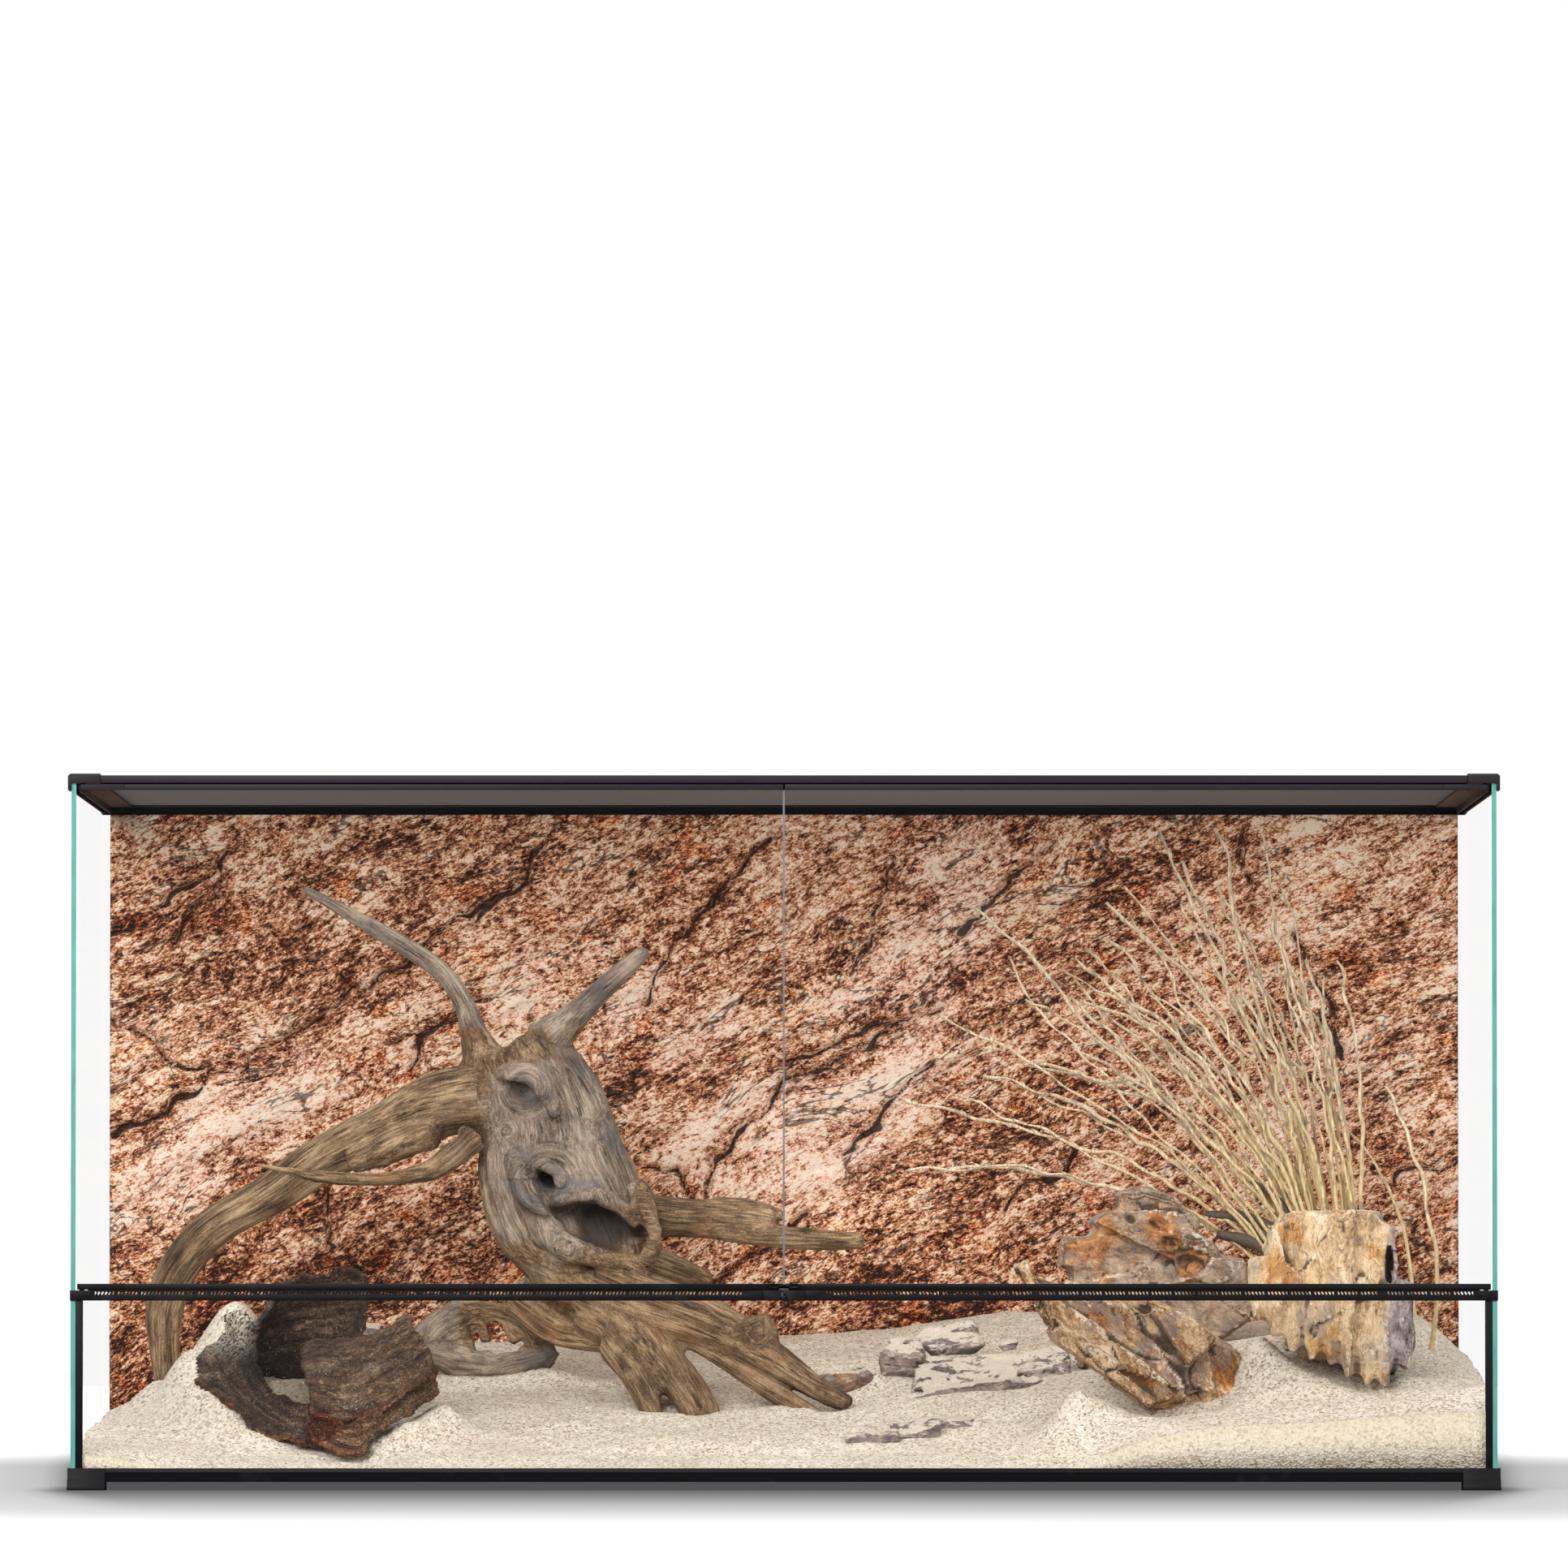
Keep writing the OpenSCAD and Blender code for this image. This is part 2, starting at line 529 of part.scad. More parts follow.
// Twisted root with two horns, a long left arm, a right branch and three legs
module driftwood_root() color([0.5, 0.44, 0.35]) landscape()
    difference() {
        union() {
            limb([[-236, 44, 378, 40], [-218, 42, 342, 50], [-206, 40, 307, 56], [-200, 38, 272, 61],
                [-187, 36, 238, 63], [-172, 34, 200, 52], [-162, 28, 162, 32]], 0.75);
            limb([[-258, 46, 362, 21], [-268, 50, 388, 13], [-277, 56, 415, 9.5], [-298, 62, 444, 8.5],
                [-340, 74, 472, 7.5], [-382, 88, 496, 6], [-418, 96, 516, 4.5]]);
            limb([[-206, 40, 380, 20], [-176, 24, 409, 12], [-144, 6, 437, 9], [-118, -8, 459, 6.5]]);
            limb([[-256, 46, 335, 31], [-305, 60, 328, 25], [-347, 72, 307, 20], [-396, 88, 283, 19],
                [-445, 104, 251, 17], [-494, 122, 223, 17], [-526, 138, 188, 17], [-540, 148, 153, 16],
                [-541, 152, 118, 13], [-538, 152, 84, 11]]);
            limb([[-268, 20, 306, 12], [-295, 6, 283, 8], [-327, -6, 269, 7], [-362, -16, 265, 5],
                [-397, -26, 269, 4], [-467, -44, 275, 2]]);
            limb([[-140, 30, 230, 20], [-82, 18, 230, 16], [-33, 8, 223, 14], [16, 0, 216, 11],
                [68, -8, 210, 8]]);
            limb([[-205, 34, 192, 30], [-160, 20, 172, 27], [-115, 4, 155, 24], [-60, -20, 132, 21],
                [-25, -36, 113, 19], [13, -54, 87, 15], [48, -66, 62, 8]]);
            limb([[-28, -34, 128, 16], [-12, -44, 136, 14]]);
            limb([[-16, -38, 116, 7], [20, -44, 101, 2]]);
            limb([[-160, 26, 158, 30], [-126, 0, 129, 19], [-98, -34, 98, 15], [-72, -70, 60, 11]]);
            limb([[-146, 8, 120, 15], [-125, -34, 88, 11], [-108, -66, 56, 8]]);
            limb([[-140, 62, 205, 16], [-64, 84, 174, 9]]);
            limb([[-230, 52, 168, 22], [-193, 56, 141, 20], [-150, 40, 130, 16]]);
        }
        translate([-225, 0, 337]) scale([20, 14, 12]) sphere(1, $fn = 12);
        translate([-203, -4, 266]) scale([15, 16, 17]) sphere(1, $fn = 12);
        translate([-150, 0, 221]) rotate([0, 14, 0]) scale([30, 34, 16]) sphere(1, $fn = 12);
    }

// Curved shell of bark with an upright wall, an open dish and a front lip
module cork_bark() color([0.31, 0.22, 0.16]) landscape() {
    plate([[-500, 0, 112], [-497, -60, 96], [-470, -120, 62], [-432, -165, 46], [-398, -192, 40],
            [-372, -214, 34], [-350, -236, 28]],
        [[-486, -6, 140], [-462, -46, 150], [-452, -100, 122], [-434, -134, 92], [-415, -158, 76],
            [-396, -176, 67], [-372, -196, 62]], 9);
    plate([[-462, -46, 100], [-436, -34, 94], [-405, -30, 92], [-378, -40, 96]],
        [[-452, -50, 150], [-422, -40, 178], [-388, -38, 182], [-364, -48, 178]], 9);
    plate([[-402, -62, 108], [-380, -70, 116], [-353, -80, 128], [-325, -90, 140], [-306, -108, 118]],
        [[-386, -184, 60], [-364, -206, 52], [-343, -214, 54], [-312, -188, 68], [-294, -160, 84]], 9);
}

// Knotty piece of wood with a see-through hole
module knotty_wood() color([0.42, 0.33, 0.25]) landscape() {
    limb([[-312, 108, 122, 12], [-292, 110, 140, 15], [-262, 112, 149, 9], [-232, 110, 142, 9],
        [-212, 106, 122, 10], [-202, 102, 106, 8]]);
    limb([[-306, 104, 112, 13], [-280, 100, 104, 13], [-248, 100, 102, 11], [-212, 102, 110, 9]]);
}

// Corners of a stone with the outline [[x, z], ...] between two depths
function block(outline, y0, y1) = [for (p = outline, y = [y0, y1]) [p.x, y, p.y]];

// Layered slab that leans to the lower right, each layer a step further back
slab_front = -212;
slab_step = 11;
slab_layers = [
    [[208, 158], [224, 150], [300, 88], [324, 70], [312, 62], [262, 98], [226, 126]],
    [[198, 184], [212, 176], [318, 96], [338, 74], [322, 62], [222, 140]],
    [[206, 182], [250, 170], [346, 104], [354, 78], [330, 64], [230, 150]],
    [[236, 178], [280, 168], [366, 110], [370, 80], [340, 66], [250, 146]],
    [[262, 172], [300, 162], [384, 116], [390, 78], [356, 66], [270, 140]],
    [[290, 166], [330, 154], [398, 110], [400, 74], [370, 64], [300, 130]],
    [[194, 188], [204, 193], [216, 170], [208, 162]],
    [[300, 166], [342, 148], [368, 126], [340, 96]]
];
module leaning_slab_rock() color([0.55, 0.42, 0.28]) landscape()
    for (i = [0 : len(slab_layers) - 1])
        let (y = slab_front + slab_step * (i % 6))
            stone(block(slab_layers[i], y, y + 30), 2.5);

// Rounded block behind the slab
boulder_lumps = [
    [[[240, 190], [275, 230], [302, 248], [344, 234], [384, 190], [386, 130], [250, 96]], 12, 56],
    [[[236, 186], [238, 212], [276, 214], [276, 184]], 8, 60],
    [[[262, 226], [276, 238], [330, 236], [352, 180]], 2, 64],
    [[[284, 252], [312, 256], [344, 226], [282, 214]], 10, 58],
    [[[312, 254], [336, 248], [364, 222], [330, 206]], 6, 66],
    [[[340, 224], [372, 208], [384, 176], [330, 160]], 0, 62],
    [[[352, 200], [388, 186], [390, 140], [350, 120]], 4, 56],
    [[[250, 170], [350, 180], [376, 90], [262, 88]], -2, 66]
];
module rear_boulder() color([0.47, 0.43, 0.4]) landscape()
    for (lump = boulder_lumps)
        stone(block(lump[0], lump[1], lump[2]), 5);

// Standing block with upright ribs and a ragged foot
pillar_front = -196;
pillar_back = -62;
pillar_left = 402;
pillar_pitch = 15.4;
pillar_tops = [[396, 180], [410, 216], [424, 232], [505, 232], [518, 208], [531, 150]];
pillar_feet = [[400, 148], [421, 128], [443, 110], [464, 106], [480, 94], [500, 84], [515, 88], [531, 112]];
module pillar_rock() color([0.66, 0.54, 0.4]) landscape() {
    stone(block([[424, 234], [506, 234], [522, 200], [522, 116], [424, 130], [406, 204]], pillar_front + 16,
        pillar_back), 5);
    for (i = [0 : 8])
        let (x = pillar_left + pillar_pitch * i, top = lookup(x, pillar_tops), foot = lookup(x, pillar_feet))
            hull() {
                translate([x, pillar_front + 20 - 3 * sin(i * 100), top]) sphere(7, $fn = 8);
                translate([x - 1, pillar_front + 12 - 4 * sin(i * 80), 160]) sphere(8.5, $fn = 8);
                translate([x - 2, pillar_front + 8, foot]) sphere(6, $fn = 8);
                translate([x + 2, pillar_front + 60, foot - 6]) sphere(7, $fn = 8);
            }
}

module loose_stones() color([0.6, 0.54, 0.47]) landscape() {
    pebble([56, 10, 84], [28, 16, 18], 8);
    pebble([116, 16, 90], [32, 22, 30], -12);
    pebble([178, 4, 94], [26, 20, 32], 14);
    pebble([142, -54, 68], [42, 22, 16], -6);
    pebble([196, -74, 84], [14, 12, 12], 6);
    pebble([90, -196, 34], [44, 20, 16], 4);
    pebble([160, -150, 52], [40, 24, 14], -8);
    pebble([228, -26, 98], [26, 18, 18], 10);
    pebble([-424, -100, 74], [17, 20, 26], 20);
    pebble([-366, 150, 116], [20, 18, 24], 0);
}

// Dry stems, each from its root through two bends to its tip, as [x, y, z]
stems = [
    [[470, 96, 130], [470, 92, 250], [410, 80, 400], [330, 70, 560]],
    [[476, 100, 130], [478, 96, 250], [430, 88, 400], [372, 80, 566]],
    [[482, 104, 130], [480, 98, 260], [440, 92, 420], [402, 88, 568]],
    [[488, 100, 130], [492, 96, 260], [466, 92, 400], [426, 90, 530]],
    [[494, 104, 130], [498, 98, 250], [476, 92, 350], [456, 90, 452]],
    [[500, 98, 130], [506, 92, 240], [498, 86, 340], [466, 80, 450]],
    [[466, 92, 130], [462, 84, 240], [390, 70, 360], [300, 60, 480]],
    [[462, 96, 130], [456, 86, 230], [370, 66, 350], [260, 50, 460]],
    [[458, 92, 130], [448, 80, 220], [350, 50, 320], [210, 30, 430]],
    [[454, 90, 130], [440, 78, 220], [330, 50, 330], [170, 24, 486]],
    [[452, 94, 130], [436, 84, 220], [310, 60, 320], [140, 40, 408]],
    [[450, 90, 130], [430, 84, 216], [300, 80, 300], [104, 84, 346]],
    [[446, 88, 130], [424, 86, 220], [330, 90, 272], [110, 100, 262]],
    [[470, 104, 130], [464, 106, 260], [420, 108, 420], [340, 110, 540]],
    [[474, 108, 130], [470, 110, 260], [410, 116, 380], [290, 120, 500]],
    [[480, 110, 130], [474, 112, 250], [400, 120, 360], [240, 126, 450]],
    [[486, 112, 130], [482, 116, 250], [440, 124, 390], [380, 130, 520]],
    [[492, 110, 130], [496, 112, 250], [480, 118, 360], [440, 120, 480]],
    [[478, 92, 130], [474, 84, 260], [440, 70, 360], [390, 58, 430]],
    [[466, 100, 130], [454, 98, 240], [396, 98, 330], [330, 96, 400]],
    [[548, 150, 146], [546, 140, 230], [520, 120, 300], [420, 100, 376]],
    [[556, 60, 110], [574, 40, 190], [556, 50, 280], [512, 60, 336]]
];

function bezier(p, t) = let (s = 1 - t)
    s * s * s * p[0] + 3 * s * s * t * p[1] + 3 * s * t * t * p[2] + t * t * t * p[3];

module dry_grass() color([0.78, 0.72, 0.52]) landscape() {
    bends = 5;
    for (p = stems, i = [0 : bends - 1])
        hull() {
            translate(bezier(p, i / bends)) sphere(1.5 - 0.6 * i / bends, $fn = 5);
            translate(bezier(p, (i + 1) / bends)) sphere(1.5 - 0.6 * (i + 1) / bends, $fn = 5);
        }
    translate([474, 100, 128]) scale([34, 18, 12]) sphere(1, $fn = 10);
}

// ---------- the parts ----------

mirror([0, 1, 0]) base_rail_rear();  // base_rail_front
base_rail_rear();
other_side() base_rail_right();  // base_rail_left
base_rail_right();
mirror([0, 1, 0]) other_side() corner_foot();  // corner_foot_front_left
mirror([0, 1, 0]) corner_foot();  // corner_foot_front_right
other_side() corner_foot();  // corner_foot_rear_left
corner_foot();  // corner_foot_rear_right
floor_glass();
other_side() side_glass_right();  // side_glass_left
side_glass_right();
rear_glass();
front_window_glass();
other_side() corner_post_right();  // corner_post_left
corner_post_right();
silicone_joints();
other_side() vent_grille_right();  // vent_grille_left
vent_grille_right();
other_side() vent_end_cap_right();  // vent_end_cap_left
vent_end_cap_right();
latch_housing();
latch_bolt();
lock_cylinder();
top_rail_front();
top_rail_rear();
other_side() top_rail_right();  // top_rail_left
top_rail_right();
other_side() top_corner(-1);  // top_corner_front_left
top_corner(-1);  // top_corner_front_right
other_side() top_corner(1);  // top_corner_rear_left
top_corner(1);  // top_corner_rear_right
screen_frame();
screen_mesh();
other_side() door_glass_right();  // door_glass_left
door_glass_right();
other_side() door_top_rail_right();  // door_top_rail_left
door_top_rail_right();
other_side() door_bottom_rail_right();  // door_bottom_rail_left
door_bottom_rail_right();
other_side() door_pull_right();  // door_pull_left
door_pull_right();
other_side() door_hinge_top_right();  // door_hinge_top_left
door_hinge_top_right();
other_side() door_hinge_bottom_right();  // door_hinge_bottom_left
door_hinge_bottom_right();
door_edge_seal();
rock_background();
sand_bed();
driftwood_root();
cork_bark();
knotty_wood();
leaning_slab_rock();
rear_boulder();
pillar_rock();
loose_stones();
dry_grass();
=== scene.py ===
"""Dresses the terrarium: glass, black plastic, mesh lid and the desert landscape inside.

Shapes are worked out in millimetres and become metres when a piece is made. +X is the length seen
from the front, +Y points to the back and +Z up, as in the frame.
"""

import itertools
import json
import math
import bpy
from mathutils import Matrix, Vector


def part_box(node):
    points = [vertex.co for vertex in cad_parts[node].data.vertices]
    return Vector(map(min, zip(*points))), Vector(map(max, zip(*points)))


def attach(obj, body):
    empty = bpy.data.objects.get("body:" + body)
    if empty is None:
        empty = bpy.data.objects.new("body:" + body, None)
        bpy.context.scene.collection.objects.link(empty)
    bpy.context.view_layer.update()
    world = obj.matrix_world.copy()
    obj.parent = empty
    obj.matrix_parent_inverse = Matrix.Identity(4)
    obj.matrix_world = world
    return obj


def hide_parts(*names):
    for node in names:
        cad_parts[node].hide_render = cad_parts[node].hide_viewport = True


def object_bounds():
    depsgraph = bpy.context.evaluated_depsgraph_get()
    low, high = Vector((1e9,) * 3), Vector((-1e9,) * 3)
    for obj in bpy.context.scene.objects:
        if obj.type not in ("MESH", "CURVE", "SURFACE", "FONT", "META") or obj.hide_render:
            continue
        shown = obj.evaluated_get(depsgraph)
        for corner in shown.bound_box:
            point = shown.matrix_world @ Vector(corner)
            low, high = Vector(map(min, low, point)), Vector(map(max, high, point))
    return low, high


bl_info = {
    "name": "Desert terrarium",
    "version": (1, 0, 0),
    "blender": (4, 5, 0),
    "location": "View3D > Sidebar > Terrarium",
    "description": "Dresses the frame of a glass terrarium with its finishes and its desert landscape",
    "category": "Object",
}

import bmesh
import bpy
import numpy as np
from bpy.props import FloatProperty, FloatVectorProperty, IntProperty, PointerProperty
from mathutils import Vector

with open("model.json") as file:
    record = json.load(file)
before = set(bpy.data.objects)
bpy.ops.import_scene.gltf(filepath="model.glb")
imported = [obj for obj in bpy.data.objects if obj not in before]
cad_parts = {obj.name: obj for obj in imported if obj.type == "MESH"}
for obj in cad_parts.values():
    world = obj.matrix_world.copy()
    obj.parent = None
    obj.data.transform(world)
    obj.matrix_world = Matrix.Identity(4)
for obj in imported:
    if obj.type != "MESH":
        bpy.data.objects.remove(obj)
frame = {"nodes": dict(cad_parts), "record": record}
CAD_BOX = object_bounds()

MM = 0.001
CASE_HIGH = CAD_BOX[1]                      # highest corner of the case, in metres
FULL_TURN = 6.28                            # all the way round, in radians
QUARTER_TURN = math.pi / 2
WIRE_SIDES = 5                              # sides of a wire of the lid
STEEPEST_BED = 0.6                          # grains lie where the sand's normal points up more than this


# ---------- shapes as arrays of points, in millimetres ----------

def scatter(cell, seed):
    """Repeatable numbers from -1 to 1, one for each whole-numbered place."""
    x, y, z = (cell[..., axis] for axis in range(3))
    mixed = (x * 374761393 + y * 668265263 + z * 1440662683 + seed * 1013904223) & 0xFFFFFFFF
    mixed = ((mixed ^ (mixed >> 13)) * 1274126177) & 0xFFFFFFFF
    mixed = ((mixed ^ (mixed >> 16)) * 668265263) & 0xFFFFFFFF
    return (mixed ^ (mixed >> 15)) / 0x7FFFFFFF - 1.0


def lumps(points, size, seed=0):
    """Smooth noise from -1 to 1 with lumps of the given size, which may differ by axis."""
    place = points / np.asarray(size, float) + seed * 7.31
    cell = np.floor(place).astype(np.int64)
    part = place - cell
    part = part * part * (3 - 2 * part)
    total = np.zeros(points.shape[:-1])
    for corner in itertools.product((0, 1), repeat=3):
        weight = np.prod(np.where(corner, part, 1 - part), axis=-1)
        total += weight * scatter(cell + np.array(corner), seed)
    return total


def crags(points, size, seed=0, layers=4):
    """Noise in several layers, each half as large and half as strong as the one before."""
    size = np.asarray(size, float)
    return sum(lumps(points, size / 2 ** n, seed + n) / 2 ** n for n in range(layers))


def ridges(points, size, seed=0):
    """Noise with sharp crests at 1 and valleys towards -1."""
    return 1 - 2 * np.abs(lumps(points, size, seed))


def flakes(points, size, seed=0):
    """Flat facets with sudden edges, about -1 to 1, in cells of the given size."""
    place = points / np.asarray(size, float) + seed * 3.7
    cell = np.floor(place).astype(np.int64)
    nearest = np.full(points.shape[:-1], np.inf)
    height = np.zeros(points.shape[:-1])
    for step in itertools.product((-1, 0, 1), repeat=3):
        home = cell + np.array(step)
        shift = np.stack([scatter(home, seed + n) for n in range(3)], -1)
        tilt = np.stack([scatter(home, seed + 3 + n) for n in range(3)], -1)
        away = place - home - 0.5 - 0.45 * shift
        gap = (away ** 2).sum(axis=-1)
        closer = gap < nearest
        nearest = np.where(closer, gap, nearest)
        facet = 0.45 * scatter(home, seed + 6) + 0.8 * (away * tilt).sum(axis=-1)
        height = np.where(closer, facet, height)
    return height


def ease(values, low, high):
    """0 below low, 1 above high and a smooth rise between them."""
    share = np.clip((np.asarray(values, float) - low) / (high - low), 0, 1)
    return share * share * (3 - 2 * share)


def outward(points, faces):
    """The outward direction at each point of a mesh of quads or triangles."""
    corners = points[faces]
    across = np.cross(corners[:, 2] - corners[:, 0], corners[:, -1] - corners[:, 1])
    total = np.zeros_like(points)
    for corner in faces.T:
        for axis in range(3):
            total[:, axis] += np.bincount(corner, across[:, axis], len(points))
    return total / np.maximum(np.linalg.norm(total, axis=1, keepdims=True), 1e-9)


def softened(points, faces, rounds):
    """The points, each moved halfway to the middle of its neighbours, a number of times."""
    after = np.roll(faces, -1, axis=1)
    ends = np.concatenate([faces, after]).ravel()
    others = np.concatenate([after, faces]).ravel()
    count = np.maximum(np.bincount(ends, minlength=len(points)), 1)[:, None]
    for _ in range(rounds):
        total = [np.bincount(ends, points[others, axis], len(points)) for axis in range(3)]
        points = (points + np.stack(total, axis=1) / count) / 2
    return points


def smooth_path(knots, step):
    """A curve through knots of any width (x, y, z and more), about one point every step."""
    knots = np.asarray(knots, float)
    knots = np.vstack([2 * knots[0] - knots[1], knots, 2 * knots[-1] - knots[-2]])
    path = []
    for before, start, end, after in zip(knots, knots[1:], knots[2:], knots[3:]):
        count = max(1, round(np.linalg.norm((end - start)[:3]) / step))
        slope = end - before
        bend = 2 * before - 5 * start + 4 * end - after
        twist = 3 * start - before - 3 * end + after
        for t in np.arange(count)[:, None] / count:
            path.append(0.5 * (2 * start + slope * t + bend * t ** 2 + twist * t ** 3))
    return np.vstack(path + [knots[-2]])


def carried_frame(path):
    """Directions along and across a path, turned as little as possible from point to point."""
    along = np.gradient(path[:, :3], axis=0)
    along /= np.linalg.norm(along, axis=1, keepdims=True)
    across = np.zeros_like(along)
    side = np.cross(along[0], [0.3, 1.0, 0.2])
    for i, direction in enumerate(along):
        side = side - direction * side.dot(direction)
        side /= np.linalg.norm(side)
        across[i] = side
    return along, across, np.cross(along, across)


def tube(path, sides=20, flat=1.0, swell=None):
    """A closed tube along a path of x, y, z and radius. swell(ring, side) varies the radius."""
    _, across, up = carried_frame(path)
    turns = np.arange(sides) * 2 * math.pi / sides
    ring, side = np.meshgrid(np.arange(len(path)), turns, indexing="ij")
    radius = path[:, 3:4] * (1 if swell is None else swell(ring, side))
    offset = across[:, None] * np.cos(turns)[:, None] + up[:, None] * np.sin(turns)[:, None]
    offset = offset * radius[..., None] * (1, flat, 1)
    points = (path[:, None, :3] + offset).reshape(-1, 3)
    i = np.arange(len(path) - 1)[:, None] * sides
    j = np.arange(sides)
    k = (j + 1) % sides
    walls = np.stack([i + j, i + sides + j, i + sides + k, i + k], axis=-1).reshape(-1, 4)
    last = (len(path) - 1) * sides
    return points, walls[:, ::-1].tolist() + [j.tolist(), (j + last)[::-1].tolist()]


def emptied(shell):
    """Points and faces of a bmesh, which is freed."""
    shell.verts.index_update()
    points = np.array([vertex.co[:] for vertex in shell.verts])
    faces = [[vertex.index for vertex in face.verts] for face in shell.faces]
    shell.free()
    return points, faces


def hull(points):
    """The convex shell of a cloud of points."""
    shell = bmesh.new()
    for point in points:
        shell.verts.new(point)
    bmesh.ops.convex_hull(shell, input=shell.verts)
    loose = [vertex for vertex in shell.verts if not vertex.link_faces]
    bmesh.ops.delete(shell, geom=loose, context="VERTS")
    return emptied(shell)


def block(outline, front, back, shrink=0.93):
    """A block with an outline of x and z, a little smaller at its front face."""
    outline = np.asarray(outline, float)
    middle = outline.mean(axis=0)
    near = middle + (outline - middle) * shrink
    return hull([(x, front, z) for x, z in near] + [(x, back, z) for x, z in outline])


def ball(centre, radii, bumps, seed):
    """A ball with three half sizes, knocked out of shape by bumps."""
    shell = bmesh.new()
    bmesh.ops.create_icosphere(shell, subdivisions=3, radius=1)
    points, faces = emptied(shell)
    points *= 1 + bumps * lumps(points, 0.7, seed)[:, None]
    return points * radii + centre, faces


def linked(name, data):
    """A new object in the scene, at the origin."""
    obj = bpy.data.objects.new(name, data)
    bpy.context.scene.collection.objects.link(obj)
    return obj


def discarded(obj):
    """Deletes an object and its mesh."""
    mesh = obj.data
    bpy.data.objects.remove(obj)
    bpy.data.meshes.remove(mesh)


def joined(shells):
    """Several shells as one pair of points and faces."""
    points, faces, total = [], [], 0
    for shell_points, shell_faces in shells:
        faces += [[index + total for index in face] for face in shell_faces]
        points.append(shell_points)
        total += len(shell_points)
    return np.vstack(points), faces


def raw_object(shells):
    """An unfinished object that holds several shells."""
    points, faces = joined(shells)
    mesh = bpy.data.meshes.new("raw")
    mesh.from_pydata((points * MM).tolist(), [], faces)
    return linked("raw", mesh)


def add_skin(obj, grain):
    """A modifier that makes one skin of cubes as wide as grain."""
    skin = obj.modifiers.new("skin", "REMESH")
    skin.mode = "VOXEL"
    skin.voxel_size = grain * MM


def fused(shells, grain, cutters=()):
    """One closed skin round overlapping shells, less the cutters, in quads about grain across."""
    body = raw_object(shells)
    add_skin(body, grain)
    if cutters:
        tool = raw_object(cutters)
        add_skin(tool, grain)
        carve = body.modifiers.new("carve", "BOOLEAN")
        carve.operation = "DIFFERENCE"
        carve.solver = "MANIFOLD"
        carve.object = tool
        add_skin(body, grain)
    result = body.evaluated_get(bpy.context.evaluated_depsgraph_get())
    mesh = result.to_mesh()
    points = np.empty(len(mesh.vertices) * 3)
    mesh.vertices.foreach_get("co", points)
    faces = np.array([polygon.vertices[:] for polygon in mesh.polygons])
    result.to_mesh_clear()
    discarded(body)
    if cutters:
        discarded(tool)
    return points.reshape(-1, 3) / MM, faces


def grid_faces(columns, rows):
    """The quads of a grid of points, and its rim of points in order, starting along the first row."""
    cell = (np.arange(rows - 1)[:, None] * columns + np.arange(columns - 1)).ravel()
    quads = np.stack([cell, cell + 1, cell + columns + 1, cell + columns], axis=-1)
    last = (rows - 1) * columns
    rim = np.concatenate([np.arange(columns - 1), np.arange(rows - 1) * columns + columns - 1,
                          last + np.arange(columns - 1, 0, -1), np.arange(rows - 1, 0, -1) * columns])
    return quads, rim


def heights_solid(xs, ys, heights, base):
    """A closed solid between a flat base and a surface of heights over a grid of places."""
    x, y = np.meshgrid(xs, ys)
    top = np.stack([x, y, heights], axis=-1).reshape(-1, 3)
    low = top.copy()
    low[:, 2] = base
    faces, rim = grid_faces(len(xs), len(ys))
    under = len(top) + np.arange(len(rim))
    walls = np.stack([rim, under, np.roll(under, -1), np.roll(rim, -1)], axis=-1)
    points = np.vstack([top, low[rim], [[xs[0] / 2 + xs[-1] / 2, ys[0] / 2 + ys[-1] / 2, base]]])
    floor = np.stack([np.full(len(rim), len(points) - 1), np.roll(under, -1), under], axis=-1)
    return points, faces.tolist() + walls.tolist() + floor.tolist()


def make_piece(name, points, faces, material, node=None, smooth=True, **values):
    """A piece of the enclosure at the origin. Values are stored as attributes of its points."""
    mesh = bpy.data.meshes.new(name)
    mesh.from_pydata((points * MM).tolist(), [], faces if isinstance(faces, list) else faces.tolist())
    mesh.materials.append(material)
    mesh.polygons.foreach_set("use_smooth", np.full(len(mesh.polygons), smooth))
    for key, value in values.items():
        value = np.asarray(value, np.float32)
        kind, part = ("FLOAT_VECTOR", "vector") if value.ndim == 2 else ("FLOAT", "value")
        mesh.attributes.new(key, kind, "POINT").data.foreach_set(part, value.ravel())
    mesh.update()
    piece = linked(name, mesh)
    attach(piece, "enclosure")
    if node:
        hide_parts(node)
    return piece


# ---------- finishes ----------

def shade(red, green, blue):
    """A colour as it looks on a screen, 0 to 255, in the linear numbers that a shader takes."""
    linear = [c / 3294.6 if c <= 10 else ((c / 255 + 0.055) / 1.055) ** 2.4 for c in (red, green, blue)]
    return (*linear, 1.0)


class Value:
    """An output of a node. Arithmetic on it adds Math nodes to its tree."""

    def __init__(self, owner, socket):
        self.owner = owner
        self.socket = socket

    def __add__(self, other):
        return self.owner.maths("ADD", self, other)

    def __sub__(self, other):
        return self.owner.maths("SUBTRACT", self, other)

    def __rsub__(self, other):
        return self.owner.maths("SUBTRACT", other, self)

    def __mul__(self, other):
        return self.owner.maths("MULTIPLY", self, other)

    def __truediv__(self, other):
        return self.owner.maths("DIVIDE", self, other)

    def __gt__(self, other):
        return self.owner.maths("GREATER_THAN", self, other)

    def __lt__(self, other):
        return self.owner.maths("LESS_THAN", self, other)

    def __abs__(self):
        return self.owner.maths("ABSOLUTE", self)

    __radd__ = __add__
    __rmul__ = __mul__


